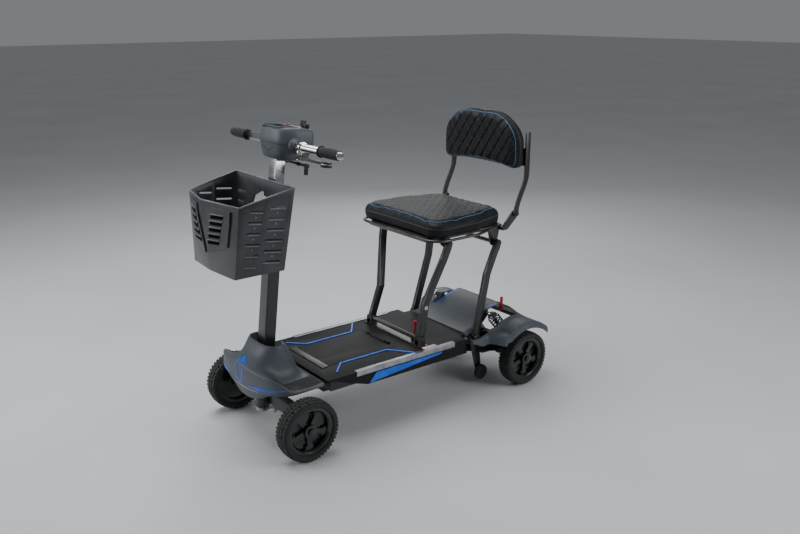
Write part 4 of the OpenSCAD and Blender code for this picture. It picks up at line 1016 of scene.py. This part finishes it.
lens = plate("display_lens", [col(x, 2 + y, CON_Z + 83.6) for x, y in rounded_box(104, 63, 20)], 3.2,
             UP, M["screen"], "head", 0.8)
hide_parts("display")
console_tree = BVHTree.FromObject(lower, bpy.context.evaluated_depsgraph_get())
# A thin near-black strip along the console's nose, painted shade in its crease.
rows = []
for i in range(17):
    x = -30 + 60 * i / 16
    z = CON_Z + 20 + abs(x) * 0.5
    start, aim = (lambda z: col(x, -200, z)), (lambda z: col(x, 0, z))
    rows.append((start(z), aim(z), start(z + 1.6), aim(z + 1.6)))
skin_strip("console_nose_crease", console_tree, rows, 0.25, 1.0, M["black_plastic"], "head")
for side, s in (("left", 1), ("right", -1)):
    collar = outward(loft(f"bar_collar_{side}", [bar_ring(s * x, r) for x, r in (
        (66, 23), (77, 21.5), (79.5, 20.5), (81.5, 18), (84.5, 15.5), (86.5, 14.6), (87.2, 13.6),
        (87.2, 11.2), (70, 11.2))], (True, True)))
    dress(smooth(collar, 35), M["grey_shell"], "head")
    ring = outward(loft(f"bar_collar_ring_{side}", [bar_ring(s * x, r) for x, r in (
        (86.8, 11.3), (86.8, 13), (88, 13.6), (91, 13.4), (92.2, 12.6), (92.2, 11.3))], (True, True)))
    dress(smooth(ring, 35), M["black_plastic"], "head")
    profile = [(207, 11.4), (207.4, 15.6), (208.2, 16.6), (210.4, 16.6), (211.4, 15.4), (213, 13.2)]
    for k in range(26):
        x = 215 + k * 3.1
        swell = 13.2 + 1.3 * math.sin(math.pi * (x - 213) / 86)
        profile += [(x, swell), (x + 1.6, swell), (x + 2.0, swell - 0.7), (x + 2.7, swell - 0.7)]
    profile += [(297, 12.8), (299.6, 12.2), (300.4, 11.0)]
    handle = outward(loft(f"grip_{side}_sleeve", [bar_ring(s * x, r) for x, r in profile], (True, True)))
    dress(smooth(handle, 40), M["grip_rubber"], "head", [f"grip_{side}"])
    cap = outward(loft(f"grip_{side}_end", [bar_ring(s * x, r) for x, r in (
        (299.5, 11.4), (301.4, 11.4), (302.6, 10.4), (303, 8.4))], (True, True)))
    dress(smooth(cap, 40), M["chrome_bar"], "head")
cup = [col(247 + 15.6 * math.cos(math.radians(a)), 6 + 15.6 * math.sin(math.radians(a)), 625)
       for a in range(-120, 61, 10)]
tube("brake_cup_bright_edge", cup, 1.0, CABLE_METAL, "brake_lever", 8)
bolt("brake_clamp_screw", col(108, -5, 651), -BACK, 6, 4, BRASS, "head")

# ---------- basket ----------

BK_Z, BK_H, BK_BACK, BK_W = 313, 236, 39, 170
BASKET_TOP = [(-BK_W, -BK_BACK, 0), (-BK_W + 8, -BK_BACK - 82.2, -28), (-BK_W + 16, -BK_BACK - 158, -56),
              (0, -BK_BACK - 196, -56)]
BASKET_TOP += [(-x, y, z) for x, y, z in reversed(BASKET_TOP[:-1])]
basket = soften("basket", 1.1, CHARCOAL, "basket_sheet")
basket_tree = BVHTree.FromObject(basket, bpy.context.evaluated_depsgraph_get())
rim_line = []
for x, y, z in BASKET_TOP:
    inward = Vector((-x * 0.008, (-BK_BACK - 90 - y) * 0.012))
    rim_line.append(col(x + inward.x, y + inward.y, BK_Z + BK_H + z + 0.4))
# The rolled rim is in the lighter coat, a painted highlight along its edge.
tube("basket_folded_rim", rim_line, 2.3, CHARCOAL_PAINTED_HIGHLIGHT, "basket", 8, True)
FRONT_FACE = {"tm": (0, -235, 493), "tc": (154, -197, 493), "bm": (0, -195, 290), "bc": (126.8, -183, 290)}


def front_ray(side):
    tm, tc, bm, bc = (Vector(FRONT_FACE[k]) for k in ("tm", "tc", "bm", "bc"))
    n = (tc - tm).cross(bm - tm).normalized()
    n = n if n.y < 0 else -n

    def ray(u, v):
        q = (bm * (1 - u) + bc * u) * (1 - v) + (tm * (1 - u) + tc * u) * v
        a, b = q + n * 60, q - n * 20
        return col(side * a.x, a.y, a.z), col(side * b.x, b.y, b.z)
    return ray


hoods, mouths = [], []
for s in (1, -1):
    ray = front_ray(s)
    panel = skin_patch(basket_tree, [(0.03, 0.26), (0.72, 0.42), (0.80, 0.93), (0.20, 0.93)], ray, 5.5, 1)
    obj = merged(f"basket_louvre_panel_{'left' if s > 0 else 'right'}", [panel], CHARCOAL, "basket",
                 30)
    tree = BVHTree.FromObject(obj, bpy.context.evaluated_depsgraph_get())
    for k in range(5):
        v, u = 0.80 - 0.094 * k, 0.27 - 0.042 * k
        mouths.append(skin_patch(tree, [(u, v - 0.022), (u + 0.34, v - 0.004), (u + 0.365, v + 0.052),
                                        (u + 0.02, v + 0.036)], ray, 1.0, 0.5, (3, 2)))
        hoods.append(skin_patch(tree, [(u + 0.01, v + 0.036), (u + 0.37, v + 0.052), (u + 0.375, v + 0.064),
                                       (u + 0.015, v + 0.049)], ray, 3.4, 0.5, (3, 2)))
# The mouths are painted shade laid over the slots.
merged("basket_louvre_mouths", mouths, LOUVRE_PAINTED_SHADE, "basket")
# The hoods are in the lighter coat, a painted highlight on their edges.
merged("basket_louvre_hoods", hoods, CHARCOAL_PAINTED_HIGHLIGHT, "basket")
lips, studs = [], []
for s in (1, -1):
    ray = lambda y, z: (col(s * 260, y, z), col(s * 60, y, z))
    for y0, length, low in ((18, 52, 26), (86, 40, 14)):
        for j in range(6):
            z = BK_Z + low + j * BK_H / 7.6
            ya, yb = -BK_BACK - y0 - length + 1, -BK_BACK - y0 - 1
            lips.append(skin_patch(basket_tree, [(ya, z - 3.6), (yb, z - 3.6), (yb, z - 0.8), (ya, z - 0.8)],
                                   ray, 2.4, 0.5, (4, 2)))
            if j < 5:
                ym, zm = (ya + yb) / 2, z + 17.5
                studs.append(skin_patch(basket_tree, [(ym - 2.4, zm - 2.4), (ym + 2.4, zm - 2.4),
                                                      (ym + 2.4, zm + 2.4), (ym - 2.4, zm + 2.4)],
                                        ray, 1.6, 0.5, (3, 3)))
# Lips and studs are in the lighter coat, a painted highlight.
merged("basket_slot_lips", lips, CHARCOAL_PAINTED_HIGHLIGHT, "basket")
merged("basket_studs", studs, CHARCOAL_PAINTED_HIGHLIGHT, "basket")

# ---------- deck and side trim ----------

# The deck's flat top, which the lid's hinge knuckles stand above, and half its width, in mm
DECK_TOP = 208.0
DECK_HALF = round(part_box("deck")[1].x / MM)

for side, s in (("left", 1), ("right", -1)):
    path = [(150, 152), (100, 200), (100, 378), (180, 438)]
    line = [at(s * x, y, DECK_TOP) for x, y in path]
    ribbon(f"deck_blue_line_{side}", line, 5, 2.6, (0, 0, 1), M["blue_trim"], "chassis")
    blade = [(246, 160), (274, 190), (538, 191), (535, 185)]
    plate(f"side_blue_blade_{side}", [at(s * DECK_HALF, y, z) for y, z in blade], 1.4, (s, 0, 0),
          M["blue_trim"], "chassis", 0.4)

strip = [at(x, y, DECK_TOP + 0.1) for x, y in ((-100, 134), (100, 134), (96, 158), (-96, 158))]
plate("deck_front_strip", strip, 1.8, (0, 0, 1), GUNMETAL, "chassis", 0.5)
label = [at(x, y, DECK_TOP + 1.6) for x, y in ((158, 474), (176, 474), (176, 528), (158, 528))]
plate("plain_label_panel", label, 0.8, (0, 0, 1),
      painted("pale_label_sheet", "#C4C4BF", "#DADAD5"), "chassis", 0.2)
ribbon("plain_label_border", [p + Vector((0, 0, 0.0009)) for p in label + label[:1]], 1.8, 0.3,
       (0, 0, 1), M["red_plastic"], "chassis")

# ---------- tyres, springs, levers, seat frame ----------


def round_x(centre, x, r, a):
    return centre + Vector((x, r * math.cos(a), r * math.sin(a))) * MM


for node in ("front_tyre_left", "front_tyre_right", "rear_tyre_left", "rear_tyre_right"):
    tyre, centre = bpy.data.objects[node + "_finished"], middle(node)
    lo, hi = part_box(node)
    big, half = (hi.z - lo.z) / 2 / MM, (hi.x - lo.x) / 2 / MM
    for v in tyre.data.vertices:
        d = v.co - centre
        r = math.hypot(d.y, d.z) / MM
        if r > big - 10:
            less = (r - 2.8 * ease((r - big + 10) / 6)) / r
            v.co = centre + Vector((d.x, d.y * less, d.z * less))
    verts, faces = [], []
    count = 46
    for row, (x, deep, top, wide) in enumerate(((-half + 6, 7, 2.6, 8), (-6.5, 4.2, 0.3, 10),
                                                (6.5, 4.2, 0.3, 10), (half - 6, 7, 2.6, 8))):
        for i in range(count):
            a = 2 * math.pi * (i + 0.5 * (row % 2)) / count
            k, tall = len(verts), 4.6 / big
            for r, g in ((big - deep, 1.0), (big - top, 0.78)):
                verts += [round_x(centre, x + u * wide / 2 * g, r, a + w * tall * g)
                          for u, w in ((-1, -1), (1, -1), (1, 1), (-1, 1))]
            faces += [(k, k + 3, k + 2, k + 1), (k + 4, k + 5, k + 6, k + 7)]
            faces += [(k + j, k + (j + 1) % 4, k + 4 + (j + 1) % 4, k + 4 + j) for j in range(4)]
    dress(outward(from_mesh(node + "_knobs", verts, faces)), M["tyre_rubber"], BODY_OF[node])

for side in ("left", "right"):
    node = f"shock_spring_{side}"
    source = frame["nodes"][node]
    spring = bpy.data.objects.new(node + "_coil", source.data.copy())
    bpy.context.scene.collection.objects.link(spring)
    pts = [v.co.copy() for v in spring.data.vertices]
    mean = sum(pts, Vector()) / len(pts)
    syy = sum((p.y - mean.y) ** 2 for p in pts)
    szz = sum((p.z - mean.z) ** 2 for p in pts)
    syz = sum((p.y - mean.y) * (p.z - mean.z) for p in pts)
    lean = 0.5 * math.atan2(2 * syz, syy - szz)
    axis = Vector((0, math.cos(lean), math.sin(lean)))
    for v in spring.data.vertices:
        d = v.co - mean
        out = d - axis * d.dot(axis)
        v.co = mean + axis * d.dot(axis) + out.normalized() * (out.length + 6.7 * MM)
    dress(smooth(spring, 60), M["spring_steel"], source["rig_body"], [node])

# The release lever's foot is black, its handle red
LEVER_HANDLE_MM = 22
lever = bpy.data.objects["release_lever_finished"]
lever.data.materials.append(M["black_plastic"])
handle_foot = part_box("release_lever")[1].z - LEVER_HANDLE_MM * MM
for face in lever.data.polygons:
    if face.center.z < handle_foot:
        face.material_index = 1

line = []
for k in range(90):
    a = 2 * math.pi * k / 90
    r = reach_at(seat_reach, a) - 9
    line.append(at(r * math.cos(a), mid_y + r * math.sin(a), SEAT_Z - 5.5))
tube("seat_edge_tube", line, 4.6, GUNMETAL, "seat", 12, True)
for side, s in (("left", 1), ("right", -1)):
    for body, places in (("front_legs", ((530, 254), (516, 330))), ("chassis", ((700, 175),))):
        skin = bpy.data.objects["front_legs_finished" if body == "front_legs" else "frame_finished"]
        tree = BVHTree.FromObject(skin, bpy.context.evaluated_depsgraph_get())
        for y, z in places:
            hit = tree.ray_cast(at(s * 400, y, z), Vector((-s, 0, 0)))[0]
            if hit and abs(hit.x) > 90 * MM:
                bolt(f"{body}_washer_{side}_{z}", hit, (s, 0, 0), 15, 3, CABLE_METAL, body)

for side, s in (("left", 1), ("right", -1)):
    tree = BVHTree.FromObject(bpy.data.objects["backrest_frame_finished"],
                              bpy.context.evaluated_depsgraph_get())
    lo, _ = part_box("backrest_frame")
    hit = tree.ray_cast(Vector((s * 0.4, lo.y + 11 * MM, lo.z + 11 * MM)), Vector((-s, 0, 0)))[0]
    if hit and abs(hit.x) > 150 * MM:
        bolt(f"backrest_hinge_nut_{side}_0", hit, (s, 0, 0), 14, 4, CABLE_METAL, "backrest")
